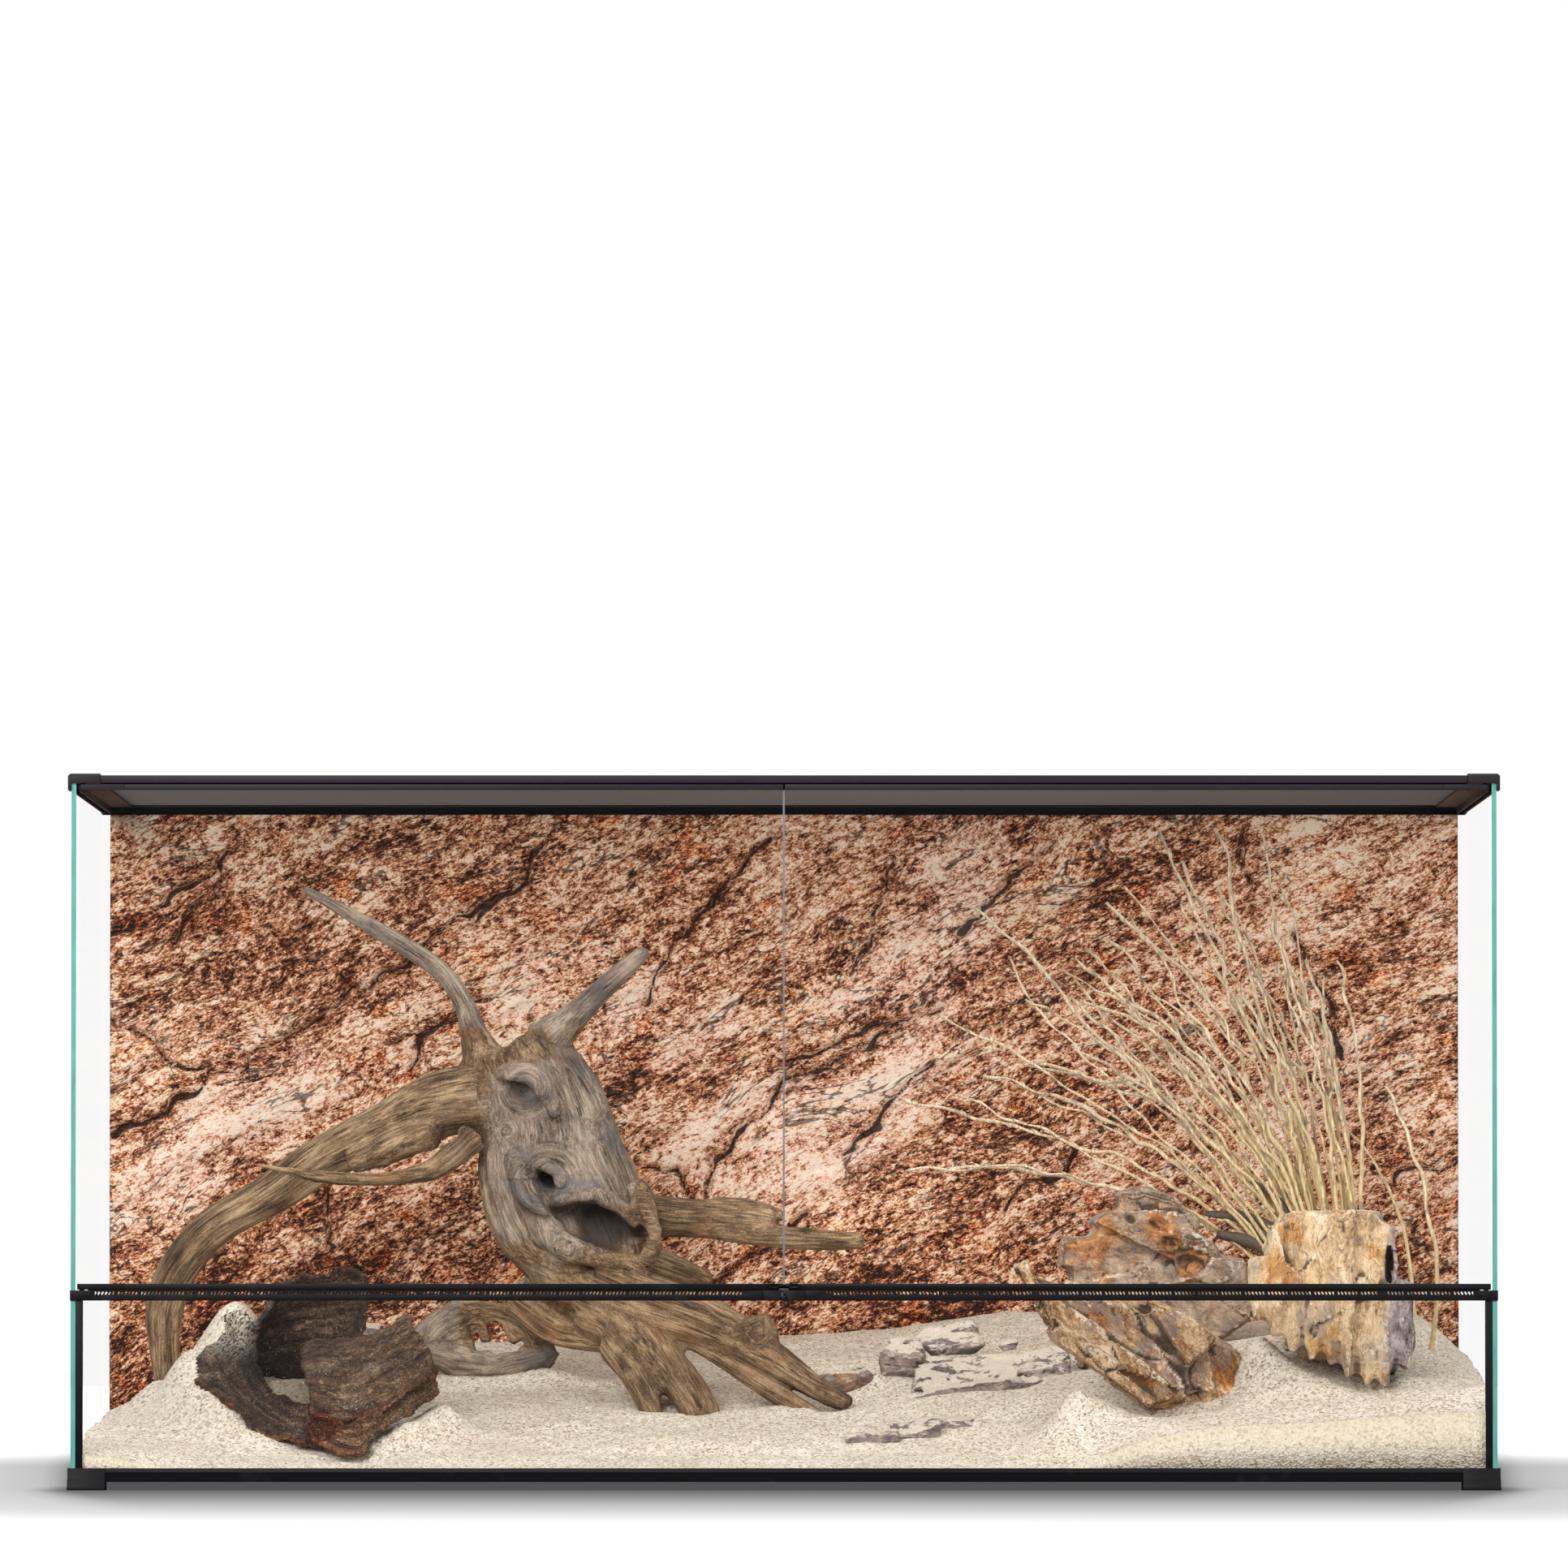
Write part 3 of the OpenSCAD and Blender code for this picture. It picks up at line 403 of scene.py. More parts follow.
class NodeTree:
    """A tree of nodes that is being filled."""

    def __init__(self, tree):
        self.tree = tree

    def node(self, kind, settings=None, sockets=None, out=0):
        """One node: its settings first, then the values or links of its sockets. Gives one output."""
        node = self.tree.nodes.new(kind if kind.startswith(("Geometry", "Function", "NodeGroup"))
                                   else "ShaderNode" + kind)
        for key, value in (settings or {}).items():
            setattr(node, key, value)
        for key, value in (sockets or {}).items():
            if isinstance(value, Value):
                self.tree.links.new(value.socket, node.inputs[key])
            else:
                node.inputs[key].default_value = value
        return Value(self, node.outputs[out]) if node.outputs else None

    def maths(self, operation, *terms):
        """A Math node on numbers or outputs."""
        return self.node("Math", {"operation": operation}, dict(enumerate(terms)))

    def most(self, first, *others):
        """The greatest of several values."""
        for other in others:
            first = self.maths("MAXIMUM", first, other)
        return first

    def part(self, vector, axis):
        """One number of a vector: 0 for x, 1 for y and 2 for z."""
        return self.node("SeparateXYZ", None, {0: vector}, axis)


class Paint(NodeTree):
    """A material, or the world, that is being mixed."""

    def __init__(self, name, world=None):
        self.material = world or bpy.data.materials.new(name)
        self.material.use_nodes = True
        super().__init__(self.material.node_tree)
        self.tree.nodes.clear()

    def place(self, stretch=(1, 1, 1), turn=(0, 0, 0), spot=None):
        """Object coordinates, turned and stretched: a stretch of 0.1 makes a pattern ten times as long."""
        spot = spot or self.node("TexCoord", out="Object")
        turned = self.node("Mapping", {"vector_type": "POINT"}, {"Vector": spot, "Rotation": turn})
        return self.stretched(turned, stretch)

    def stored(self, name, vector=False):
        """An attribute of the piece."""
        return self.node("Attribute", {"attribute_name": name}, out="Vector" if vector else "Fac")

    def stretched(self, vector, stretch):
        """A vector with each axis multiplied."""
        return self.node("VectorMath", {"operation": "MULTIPLY"}, {0: vector, 1: stretch})

    def bent(self, vector, size, reach):
        """A vector pushed about by noise: lumps of a size, pushed up to a reach, in millimetres."""
        push = self.noise(vector, size, 2.0, out="Color")
        centred = self.node("VectorMath", {"operation": "SUBTRACT"}, {0: push, 1: (0.5, 0.5, 0.5)})
        moved = self.stretched(centred, (reach * MM * 2,) * 3)
        return self.node("VectorMath", {"operation": "ADD"}, {0: vector, 1: moved})

    def noise(self, vector, size, detail=4.0, rough=0.5, bend=0.0, out=0):
        """Noise from 0 to 1 with lumps of a size in millimetres."""
        return self.node("TexNoise", {"noise_dimensions": "3D"}, {
            "Vector": vector, "Scale": 1 / (size * MM), "Detail": detail, "Roughness": rough,
            "Distortion": bend}, out)

    def cells(self, vector, size, out="Distance"):
        """Voronoi cells of a size in millimetres."""
        return self.node("TexVoronoi", None, {"Vector": vector, "Scale": 1 / (size * MM)}, out)

    def band(self, value, low, high):
        """0 where the value is below low, 1 above high and a smooth rise between them."""
        return self.node("MapRange", {"interpolation_type": "SMOOTHSTEP"},
                         {"Value": value, "From Min": low, "From Max": high})

    def ramp(self, value, *stops):
        """A colour from a value. Each stop is a position and a colour, or three numbers for shade."""
        result = self.node("ValToRGB", None, {0: value})
        colours = result.socket.node.color_ramp.elements
        while len(colours) < len(stops):
            colours.new(1)
        for element, (position, *colour) in zip(colours, stops):
            element.position = position
            element.color = shade(*colour) if len(colour) == 3 else colour[0]
        return result

    def mix(self, factor, first, second, blend="MIX"):
        """The first colour where the factor is 0 and the second where it is 1."""
        return self.node("Mix", {"data_type": "RGBA", "blend_type": blend},
                         {0: factor, 6: first, 7: second}, 2)

    def relief(self, height, depth, strength=1.0, below=None):
        """A bump of a depth in millimetres, on top of another one if it is given."""
        sockets = {"Height": height, "Distance": depth * MM, "Strength": strength}
        if below is not None:
            sockets["Normal"] = below
        return self.node("Bump", None, sockets)

    def finish(self, shader):
        """Joins the shader to the output and gives the material."""
        self.node("OutputMaterial", None, {"Surface": shader})
        return self.material

    def surface(self, colour, roughness, normal=None, **more):
        """The usual shader. more holds its other sockets, with _ for a space."""
        sockets = {"Base Color": colour, "Roughness": roughness}
        if normal is not None:
            sockets["Normal"] = normal
        for key, value in more.items():
            sockets[key.replace("_", " ")] = value
        return self.node("BsdfPrincipled", None, sockets)


def pane_glass(name, axis, edge):
    """Clear float glass. axis is the pane's thin direction; its cut edges show the edge colour."""
    paint = Paint(name)
    facing = paint.part(paint.node("TexCoord", out="Normal"), "XYZ".index(axis))
    cut_edge = abs(facing) < 0.5
    dust = paint.noise(paint.place(), 90, 5, 0.6)
    mirror = paint.maths("MINIMUM", paint.node("Fresnel", None, {"IOR": 1.45}), 0.02)
    clear = paint.node("BsdfTransparent", None, {"Color": (1, 1, 1, 1)})
    gloss = paint.surface(shade(18, 21, 21), 0.02 + dust * 0.05, Specular_IOR_Level=1.0)
    pane = paint.node("MixShader", None, {0: mirror, 1: clear, 2: gloss})
    depth = paint.noise(paint.place((1, 1, 0.15)), 4, 3)
    side = paint.surface(paint.ramp(depth, (0.3, edge), (0.75, 90, 160, 147)), 0.12)
    outer = cut_edge * (1 - paint.node("NewGeometry", out="Backfacing"))
    return paint.finish(paint.node("MixShader", None, {0: outer, 1: pane, 2: side}))


def black_plastic(name, colour, drawn=(1, 1, 1), gloss=0.36):
    """Extruded or moulded black plastic with a faint satin grain and light scuffs."""
    paint = Paint(name)
    grain = paint.noise(paint.place(), 0.35, 3, 0.6)
    streaks = paint.noise(paint.place(drawn), 2.2, 4, 0.6)
    wear = paint.noise(paint.place(), 26, 5, 0.62)
    scuffs = paint.band(wear, 0.55, 0.78)
    # Painted shade: the plastic is darker below about 0.3 m and keeps its colour above 0.5 m, as if the top
    # caught more light
    height = paint.part(paint.node("TexCoord", out="Object"), 2)
    tone = paint.mix(paint.band(height, 0.3, 0.5), shade(9, 8, 10), colour)
    tone = paint.mix(scuffs * 0.2 + streaks * 0.1, tone, shade(52, 48, 54))
    finish = gloss + grain * 0.1 + scuffs * 0.12 + streaks * 0.06
    normal = paint.relief(grain, 0.03, 0.6, paint.relief(streaks, 0.06, 0.5))
    return paint.finish(paint.surface(tone, finish, normal, Specular_IOR_Level=0.1))


def plated_metal(name):
    """Dark plated metal with fine brushed lines."""
    paint = Paint(name)
    lines = paint.noise(paint.place((0.06, 1, 1)), 0.25, 3)
    spots = paint.noise(paint.place(), 1.8, 4)
    tone = paint.ramp(spots, (0.3, 30, 29, 32), (0.7, 62, 61, 65))
    normal = paint.relief(lines, 0.02, 0.7)
    return paint.finish(paint.surface(tone, 0.42 + lines * 0.2, normal, Metallic=1.0))


def black_sealant(name):
    """Smooth black silicone."""
    paint = Paint(name)
    waves = paint.noise(paint.place((1, 1, 0.3)), 7, 3)
    tone = paint.ramp(waves, (0.3, 22, 22, 24), (0.8, 40, 40, 42))
    return paint.finish(paint.surface(tone, 0.3 + waves * 0.2, paint.relief(waves, 0.2)))


def clear_strip(name):
    """Soft clear plastic, slightly milky."""
    paint = Paint(name)
    haze = paint.noise(paint.place((1, 1, 0.1)), 6, 3)
    body = paint.surface(shade(128, 126, 128), 0.25 + haze * 0.2)
    clear = paint.node("BsdfTransparent", None, {"Color": shade(215, 218, 220)})
    return paint.finish(paint.node("MixShader", None, {0: 0.45 + haze * 0.3, 1: clear, 2: body}))


def dark_wire(name, colour):
    """Coated steel wire."""
    paint = Paint(name)
    coat = paint.noise(paint.place(), 3, 4)
    tone = paint.mix(paint.band(coat, 0.4, 0.7) * 0.5, colour, shade(112, 112, 114))
    return paint.finish(paint.surface(tone, 0.42 + coat * 0.2, paint.relief(coat, 0.04), Metallic=0.35))


def strata_rock(name):
    """Reddish-brown rock relief: long grains that rise to the right, pale faces, dark cracks and step lines
    painted as shade, and painted shade in its low places and towards its bottom.
    """
    paint = Paint(name)
    rise = (0, math.radians(26), 0)
    spot = paint.place()
    bent = paint.bent(spot, 130, 14)
    along = paint.place((0.5, 1, 1), rise, bent)
    grain = paint.noise(along, 4.2, 4, 0.74, 0.3)
    chips = paint.noise(along, 1.3, 2, 0.7)
    ledges = paint.noise(paint.place((0.42, 1, 1), rise, bent), 24, 4, 0.6, 0.4)
    wide = paint.noise(bent, 110, 3, 0.5)
    # level paints shade: darker in the relief's low places, lighter where it stands out
    level = paint.stored("level")
    tooth = (grain - 0.5) * 2.4 + (chips - 0.5) * 1.5 + (ledges - 0.5) * 1.1
    # Pale faces, and painted shade towards the bottom of the relief
    pale_and_low_shade = paint.stored("pale")
    lit = 0.57 + tooth + (wide - 0.5) * 0.3 + (level - 0.5) * 0.2 + pale_and_low_shade * 0.15
    warm = paint.ramp(lit, (0.16, 40, 19, 12), (0.34, 116, 64, 40), (0.49, 182, 115, 77),
                      (0.64, 230, 168, 126), (0.84, 255, 230, 204))
    pale = paint.ramp(lit, (0.16, 56, 28, 19), (0.34, 134, 82, 58), (0.49, 208, 147, 114),
                      (0.64, 244, 190, 158), (0.84, 255, 232, 212))
    zone = paint.noise(paint.place((0.6, 1, 1), rise, bent), 95, 4, 0.6)
    zone = paint.band(zone * 0.55 + pale_and_low_shade * 0.5, 0.26, 0.66)
    colour = paint.mix(zone, warm, pale)
    ochre = paint.band(paint.noise(bent, 36, 4, 0.6), 0.55, 0.68) * (1 - zone)
    colour = paint.mix(ochre * 0.7, colour, shade(210, 124, 66), "SOFT_LIGHT")
    # Painted shade: dark hairlines along torn steps, dark lines in the cracks and a shadow beside them
    torn = paint.noise(paint.place((0.34, 1, 1), rise, bent), 44, 4, 0.6, 0.6)
    tear = 1 - paint.band(abs(torn - 0.5) + (grain - 0.5) * 0.03, 0.004, 0.015)
    tear = tear * paint.band(paint.noise(spot, 60, 3), 0.36, 0.46)
    thin = paint.noise(spot, 34, 3, 0.5)
    split = paint.band(paint.stored("crack") + (grain - 0.5) * 0.4 + (thin - 0.5) * 0.5, 0.80, 0.88)
    shadow = paint.band(paint.stored("crack") + (grain - 0.5) * 0.9, 0.4, 1.0) * 0.3
    dark = paint.most(split, tear * 0.8, shadow)
    colour = paint.mix(dark * 0.94, colour, shade(38, 22, 17))
    normal = paint.relief(tooth - dark * 0.6, 1.7, 0.8)
    return paint.finish(paint.surface(colour, 0.9 - lit * 0.12, normal, Specular_IOR_Level=0.2))


def loose_sand(name, dry, damp):
    """Pale sand with grains of several colours; damp where it is pressed against the glass, with a painted
    shadow inside the bark's curl.
    """
    paint = Paint(name)
    spot = paint.place()
    tint = paint.cells(spot, 1.9, out="Color")
    edge = paint.cells(spot, 1.9)
    odd = paint.node("SeparateColor", None, {0: tint}, 0)
    tone = paint.node("SeparateColor", None, {0: tint}, 1)
    patch = paint.noise(spot, 70, 4, 0.55)
    wet = paint.stored("damp")
    base = paint.mix(paint.band(patch, 0.35, 0.7) * 0.5, dry, shade(238, 232, 222))
    base = paint.mix(wet, base, damp)
    # Painted shadow: the sand darkens inside the bark's curl
    base = paint.mix(paint.stored("dirt") * 0.8, base, shade(104, 90, 76))
    grains = paint.ramp(tone, (0.0, 170, 154, 132), (0.22, 218, 208, 192), (0.55, 246, 242, 234),
                        (1.0, (1, 1, 1, 1)))
    mottle = paint.noise(spot, 4.5, 4, 0.75)
    loose = 1 - wet * 0.6
    colour = paint.mix(loose * 0.85, base, grains, "MULTIPLY")
    colour = paint.mix((1 - paint.band(mottle, 0.30, 0.48)) * loose * 0.34, colour, shade(172, 154, 132))
    colour = paint.mix((odd > 0.94) * loose * 0.7, colour, shade(160, 116, 80))
    colour = paint.mix((odd < 0.04) * loose * 0.7, colour, shade(96, 88, 84))
    normal = paint.relief(edge, 0.7, 0.9, paint.relief(paint.noise(spot, 14, 4, 0.6), 2.6, 0.6))
    return paint.finish(paint.surface(colour, 0.8 - wet * 0.25, normal, Specular_IOR_Level=0.3))


def weathered_wood(name):
    """Driftwood: long grain that follows each limb and turns round its holes, with dark splits."""
    paint = Paint(name)
    blend = paint.stored("blend")

    def twice(stretch, size, detail=4.0, bend=0.0):
        """Noise along the nearest limb, mixed with the same along the next one."""
        paths = (paint.stretched(paint.stored(path, True), stretch) for path in ("grain", "grain_next"))
        first, second = (paint.noise(path, size, detail, 0.6, bend) for path in paths)
        return first * (1 - blend) + second * blend

    coarse = twice((0.10, 1, 1), 6.5, 4, 0.5)
    fine = twice((0.06, 1, 1), 1.6, 3, 0.2)
    splits = twice((0.05, 1, 1), 6.0, 3, 0.5)
    spot = paint.place()
    patches = paint.noise(spot, 46, 4, 0.6)
    grey = paint.stored("grey")
    hollow = paint.stored("hollow")
    speck = paint.noise(spot, 1.4, 3, 0.7)
    lit = 0.50 + (coarse - 0.5) * 0.8 + (fine - 0.5) * 0.9 + (patches - 0.5) * 0.8 + (speck - 0.5) * 0.5
    tan = paint.ramp(lit, (0.22, 52, 39, 29), (0.38, 96, 74, 53), (0.54, 138, 111, 82),
                     (0.74, 186, 158, 122))
    ash = paint.ramp(lit, (0.22, 66, 56, 49), (0.38, 108, 95, 83), (0.54, 146, 128, 111),
                     (0.74, 184, 166, 145))
    colour = paint.mix(paint.band(grey + (patches - 0.5) * 1.6, 0.35, 0.65), tan, ash)
    blue = paint.band(paint.noise(spot, 34, 4, 0.6), 0.52, 0.64) * grey
    colour = paint.mix(blue * 0.6, colour, shade(104, 102, 104))
    rust = paint.band(paint.noise(spot, 52, 4, 0.6), 0.56, 0.70) * (1 - grey)
    colour = paint.mix(rust * 0.4, colour, shade(150, 98, 58))
    split = (1 - paint.band(splits, 0.33, 0.38)) * 0.85
    thin = (1 - paint.band(abs(twice((0.04, 1, 1), 12, 2, 0.3) - 0.5), 0.004, 0.016)) * (0.55 - grey * 0.3)
    # The holes are painted with shade deep inside
    dark = paint.most(split, thin, hollow)
    feet = 1 - paint.band(paint.part(spot, 2), 0.06, 0.17)
    colour = paint.mix(feet * 0.3, colour, shade(62, 48, 36))
    colour = paint.mix(dark * 0.85, colour, shade(44, 36, 31))
    normal = paint.relief(lit - split * 0.5, 1.6, 0.8)
    return paint.finish(paint.surface(colour, 0.74 + fine * 0.2, normal, Specular_IOR_Level=0.25))


def dark_bark(name):
    """Dark brown bark, streaked along its growth and dusted in the middle."""
    paint = Paint(name)
    path = paint.stored("grain", True)
    long_lines = paint.noise(paint.stretched(path, (0.12, 1, 1)), 5.0, 5, 0.62, 0.5)
    fine = paint.noise(paint.stretched(path, (0.2, 1, 1)), 1.4, 4, 0.6)
    spot = paint.place()
    patch = paint.noise(spot, 30, 5, 0.6)
    pores = paint.noise(spot, 2.0, 4, 0.7)
    lit = 0.5 + (long_lines - 0.5) * 0.9 + (fine - 0.5) * 0.8 + (pores - 0.5) * 0.8
    outer = paint.ramp(lit, (0.26, 40, 28, 20), (0.46, 100, 72, 50), (0.60, 150, 114, 82),
                       (0.78, 202, 170, 132))
    inner = paint.ramp(lit, (0.26, 22, 15, 11), (0.46, 56, 41, 31), (0.62, 90, 70, 54),
                       (0.80, 152, 128, 102))
    colour = paint.mix(paint.stored("inside"), outer, inner)
    colour = paint.mix(paint.stored("rim"), colour, shade(124, 76, 52), "SOFT_LIGHT")
    colour = paint.mix(paint.band(patch, 0.56, 0.74) * 0.3, colour, shade(150, 136, 120))
    # Painted shade inside the curl of the bark
    colour = paint.mix(paint.stored("hollow") * 0.93, colour, shade(14, 10, 8))
    flecks = paint.band(paint.noise(spot, 3.2, 4, 0.7), 0.44, 0.56)
    sprinkled = paint.band(paint.noise(spot, 1.7, 2, 0.6) + (patch - 0.5) * 0.5, 0.68, 0.74) * 0.7
    dusting = paint.most(paint.stored("dust") * flecks, sprinkled)
    colour = paint.mix(dusting, colour, shade(226, 216, 198))
    normal = paint.relief(lit - dusting * 0.1, 2.0, 0.9, paint.relief(pores, 0.5, 0.4))
    return paint.finish(paint.surface(colour, 0.7 + fine * 0.25, normal, Specular_IOR_Level=0.3))


def layered_stone(name, turn, low, middle, high, pale_tint, spots, stretch=(0.5, 1, 1), dusting=0.0,
                  grey_from=None):
    """Stone with layers along one direction, stained patches, pale ridges and veins, painted shade in its
    creases and cracks, and some sand.
    """
    paint = Paint(name)
    spot = paint.place()
    bent = paint.bent(spot, 30, 8)
    along = paint.place(stretch, turn, bent)
    layers = paint.noise(along, 9.0, 5, 0.62, 0.5)
    fine = paint.noise(along, 2.2, 4, 0.68, 0.3)
    patch = paint.noise(bent, 22, 5, 0.6, 0.3)
    cloud = paint.noise(bent, 46, 3, 0.5)
    speckle = paint.noise(spot, 1.3, 4, 0.72)
    lit = 0.57 + (layers - 0.5) * 1.0 + (fine - 0.5) * 0.8 + (speckle - 0.5) * 0.6 + (cloud - 0.5) * 0.9
    colour = paint.ramp(lit, (0.24, low), (0.50, middle), (0.76, high))
    greyed = paint.band(paint.noise(bent, 34, 3, 0.5, 0.4), 0.50, 0.64) * 0.55
    colour = paint.mix(greyed, colour, shade(132, 118, 116))
    # The pillar is painted greyer and darker to the right of grey_from
    if grey_from:
        rightward = paint.part(spot, 0) + (patch - 0.5) * 0.03 + (fine - 0.5) * 0.01
        side = paint.band(rightward, grey_from, grey_from + 0.012)
        right_side_grey = paint.ramp(lit, (0.28, 58, 50, 58), (0.55, 128, 116, 124), (0.8, 186, 174, 178))
        colour = paint.mix(side * 0.85, colour, right_side_grey)
    stain = paint.stored("stain")
    colour = paint.mix(paint.band(patch + (stain - 0.4) * 0.3, 0.46, 0.66) * 0.9, colour, spots, "SOFT_LIGHT")
    worn = paint.band(patch + (layers - 0.5) * 0.5 + (stain - 0.5) * 0.25, 0.54, 0.72)
    colour = paint.mix(worn * (0.45 + fine * 0.4), colour, spots)
    # Paler on the ridges, where the stone stands out
    ridge = paint.band(paint.stored("ridge") + (fine - 0.5) * 1.3 + (patch - 0.5) * 0.9, 0.86, 1.1)
    colour = paint.mix(ridge * 0.8, colour, pale_tint)
    vein = 1 - paint.band(abs(paint.noise(along, 26, 3, 0.5, 0.8) - 0.5), 0.004, 0.016)
    colour = paint.mix(vein * paint.band(cloud, 0.5, 0.6) * 0.6, colour, pale_tint)
    # Painted shade in the creases and along the fine cracks
    crease = paint.band(paint.stored("crease") + (fine - 0.5) * 0.8, 0.45, 0.95)
    crack = 1 - paint.band(abs(paint.noise(along, 19, 4, 0.6, 1.2) - 0.52), 0.002, 0.010)
    dark = paint.most(crease, crack * paint.band(patch, 0.42, 0.5) * 0.8)
    colour = paint.mix(dark * 0.85, colour, shade(50, 38, 30))
    if dusting:
        facing = paint.part(paint.node("TexCoord", out="Normal"), 2)
        lying = paint.band(facing + (patch - 0.5) * 2.0 + (fine - 0.5) * 0.8, 0.68, 0.80) * dusting
        colour = paint.mix(lying, colour, paint.ramp(speckle, (0.35, 196, 180, 158), (0.6, 232, 220, 204)))
    normal = paint.relief(lit - dark * 0.3, 1.3, 0.65, paint.relief(speckle, 0.5, 0.4))
    return paint.finish(paint.surface(colour, 0.82 - ridge * 0.1, normal, Specular_IOR_Level=0.25))


def dry_straw(name):
    """Dry stems: straw yellow near the root, greyer towards the tip."""
    paint = Paint(name)
    reach = paint.stored("reach")
    streak = paint.noise(paint.place((1, 1, 0.12)), 1.6, 4)
    blotch = paint.noise(paint.place(), 16, 4)
    young = paint.ramp(streak, (0.3, 174, 146, 98), (0.7, 240, 216, 164))
    old = paint.ramp(streak, (0.3, 166, 140, 108), (0.7, 248, 228, 194))
    colour = paint.mix(paint.band(reach + (blotch - 0.5) * 0.5, 0.3, 0.8), young, old)
    colour = paint.mix(paint.band(blotch, 0.55, 0.66) * 0.55, colour, shade(98, 82, 70))
    # Dark strands, with a reach of 2, are painted nearly black
    colour = paint.mix(paint.band(reach, 1.4, 1.6) * 0.9, colour, shade(58, 48, 42))
    return paint.finish(paint.surface(colour, 0.62 + streak * 0.2, paint.relief(streak, 0.3, 0.7)))



def coarse_grains(name):
    """Loose grains: cream, rust, grey and almost white."""
    paint = Paint(name)
    tint = paint.node("SeparateColor", None, {0: paint.cells(paint.place(), 3.0, out="Color")}, 0)
    speck = paint.noise(paint.place(), 0.6, 3, 0.6)
    colour = paint.ramp(tint, (0.0, 150, 108, 78), (0.12, 196, 164, 124), (0.35, 226, 208, 182),
                        (0.8, 244, 236, 224), (1.0, 150, 142, 138))
    colour = paint.mix(paint.band(speck, 0.5, 0.7) * 0.3, colour, shade(255, 250, 244))
    return paint.finish(paint.surface(colour, 0.5 + speck * 0.3, paint.relief(speck, 0.2)))


# ---------- the case ----------

BODIES = frame["record"]["behaviour"]["bodies"]
BODY_OF = {node: body for body, nodes in BODIES.items() for node in nodes}
SLOT_OF = {part["node"]: part["material_slot"] for part in frame["record"]["subparts"]}


def box_mm(node):
    """Lowest and highest corner of a frame node, in millimetres."""
    return np.array(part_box(node)) / MM


def nodes_in(*slots):
    """The frame's nodes that take one of these finishes."""
    return [node for node, slot in SLOT_OF.items() if slot in slots]


def paint_node(node, material):
    """Gives a frame node its material."""
    mesh = frame["nodes"][node].data
    mesh.materials.clear()
    mesh.materials.append(material)


def rounded_copy(node, material, radius):
    """A copy of a frame node with its edges rounded, which stands for the node."""
    shell = bmesh.new()
    shell.from_mesh(frame["nodes"][node].data)
    bmesh.ops.remove_doubles(shell, verts=shell.verts, dist=1e-6)
    bmesh.ops.dissolve_limit(shell, angle_limit=math.radians(0.5), verts=shell.verts, edges=shell.edges)
    sharp = [edge for edge in shell.edges if edge.is_manifold and edge.calc_face_angle(0) > math.radians(30)]
    bmesh.ops.bevel(shell, geom=sharp, offset=radius * MM, segments=2, profile=0.5, affect="EDGES",
                    clamp_overlap=True)
    bmesh.ops.remove_doubles(shell, verts=shell.verts, dist=2e-6)
    mesh = bpy.data.meshes.new(node + "_finish")
    shell.to_mesh(mesh)
    shell.free()
    mesh.materials.append(material)
    for polygon in mesh.polygons:
        polygon.use_smooth = True
    mesh.set_sharp_from_angle(angle=math.radians(35))
    piece = linked(node + "_finish", mesh)
    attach(piece, BODY_OF[node])
    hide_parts(node)


SILL_BEHIND = (0.2, 2.2)                    # its front and back, behind the ventilation strip
SILL_FOOT = 0.7                             # its foot, below the top of the strip
SILL_TOP = 0.6                              # its top, below the top of the doors' lower rail


def door_sill(material):
    """The lip behind the doors that closes the slit over the ventilation strip."""
    left = box_mm("vent_grille_left")
    right = box_mm("vent_grille_right")
    low = (left[0][0], left[1][1] + SILL_BEHIND[0], left[1][2] - SILL_FOOT)
    high = (right[1][0], left[1][1] + SILL_BEHIND[1], box_mm("door_bottom_rail_left")[1][2] - SILL_TOP)
    corners = [(x, y, z) for x in (low[0], high[0]) for y in (low[1], high[1]) for z in (low[2], high[2])]
    points, faces = hull(corners)
    piece = make_piece("door_sill", points, faces, material, smooth=False)


class Growth(NodeTree):
    """A Geometry Nodes tree that makes one mesh from named inputs."""

    def __init__(self, name):
        super().__init__(bpy.data.node_groups.new(name, "GeometryNodeTree"))
        self.tree.interface.new_socket("Geometry", in_out="OUTPUT", socket_type="NodeSocketGeometry")
        self.settings = {}

    def inputs(self, **values):
        """The tree's named inputs: numbers with their values, a material, or None for the geometry."""
        for name, value in values.items():
            kind = {float: "Float", int: "Int", type(None): "Geometry"}.get(type(value), "Material")
            socket = self.tree.interface.new_socket(name, in_out="INPUT", socket_type="NodeSocket" + kind)
            if value is not None:
                self.settings[socket.identifier] = value
        entry = self.tree.nodes.new("NodeGroupInput")
        return [Value(self, entry.outputs[name]) for name in values]

    def vector(self, x=0.0, y=0.0, z=0.0):
        """Three numbers as a vector."""
        return self.node("CombineXYZ", None, {0: x, 1: y, 2: z})

    def mesh(self, name, geometry, material, source=None):
        """Realises the instances, sets the material and gives the finished mesh. source goes in."""
        solid = self.node("GeometryNodeRealizeInstances", None, {0: geometry})
        painted = self.node("GeometryNodeSetMaterial", None, {"Geometry": solid, "Material": material})
        self.node("NodeGroupOutput", None, {0: painted})
        host = linked(name, source or bpy.data.meshes.new(name))
        modifier = host.modifiers.new(name, "NODES")
        modifier.node_group = self.tree
        for identifier, value in self.settings.items():
            modifier[identifier] = value
        depsgraph = bpy.context.evaluated_depsgraph_get()
        mesh = bpy.data.meshes.new_from_object(host.evaluated_get(depsgraph), depsgraph=depsgraph)
        host.modifiers.clear()
        host.data = mesh
        mesh.name = name
        return host


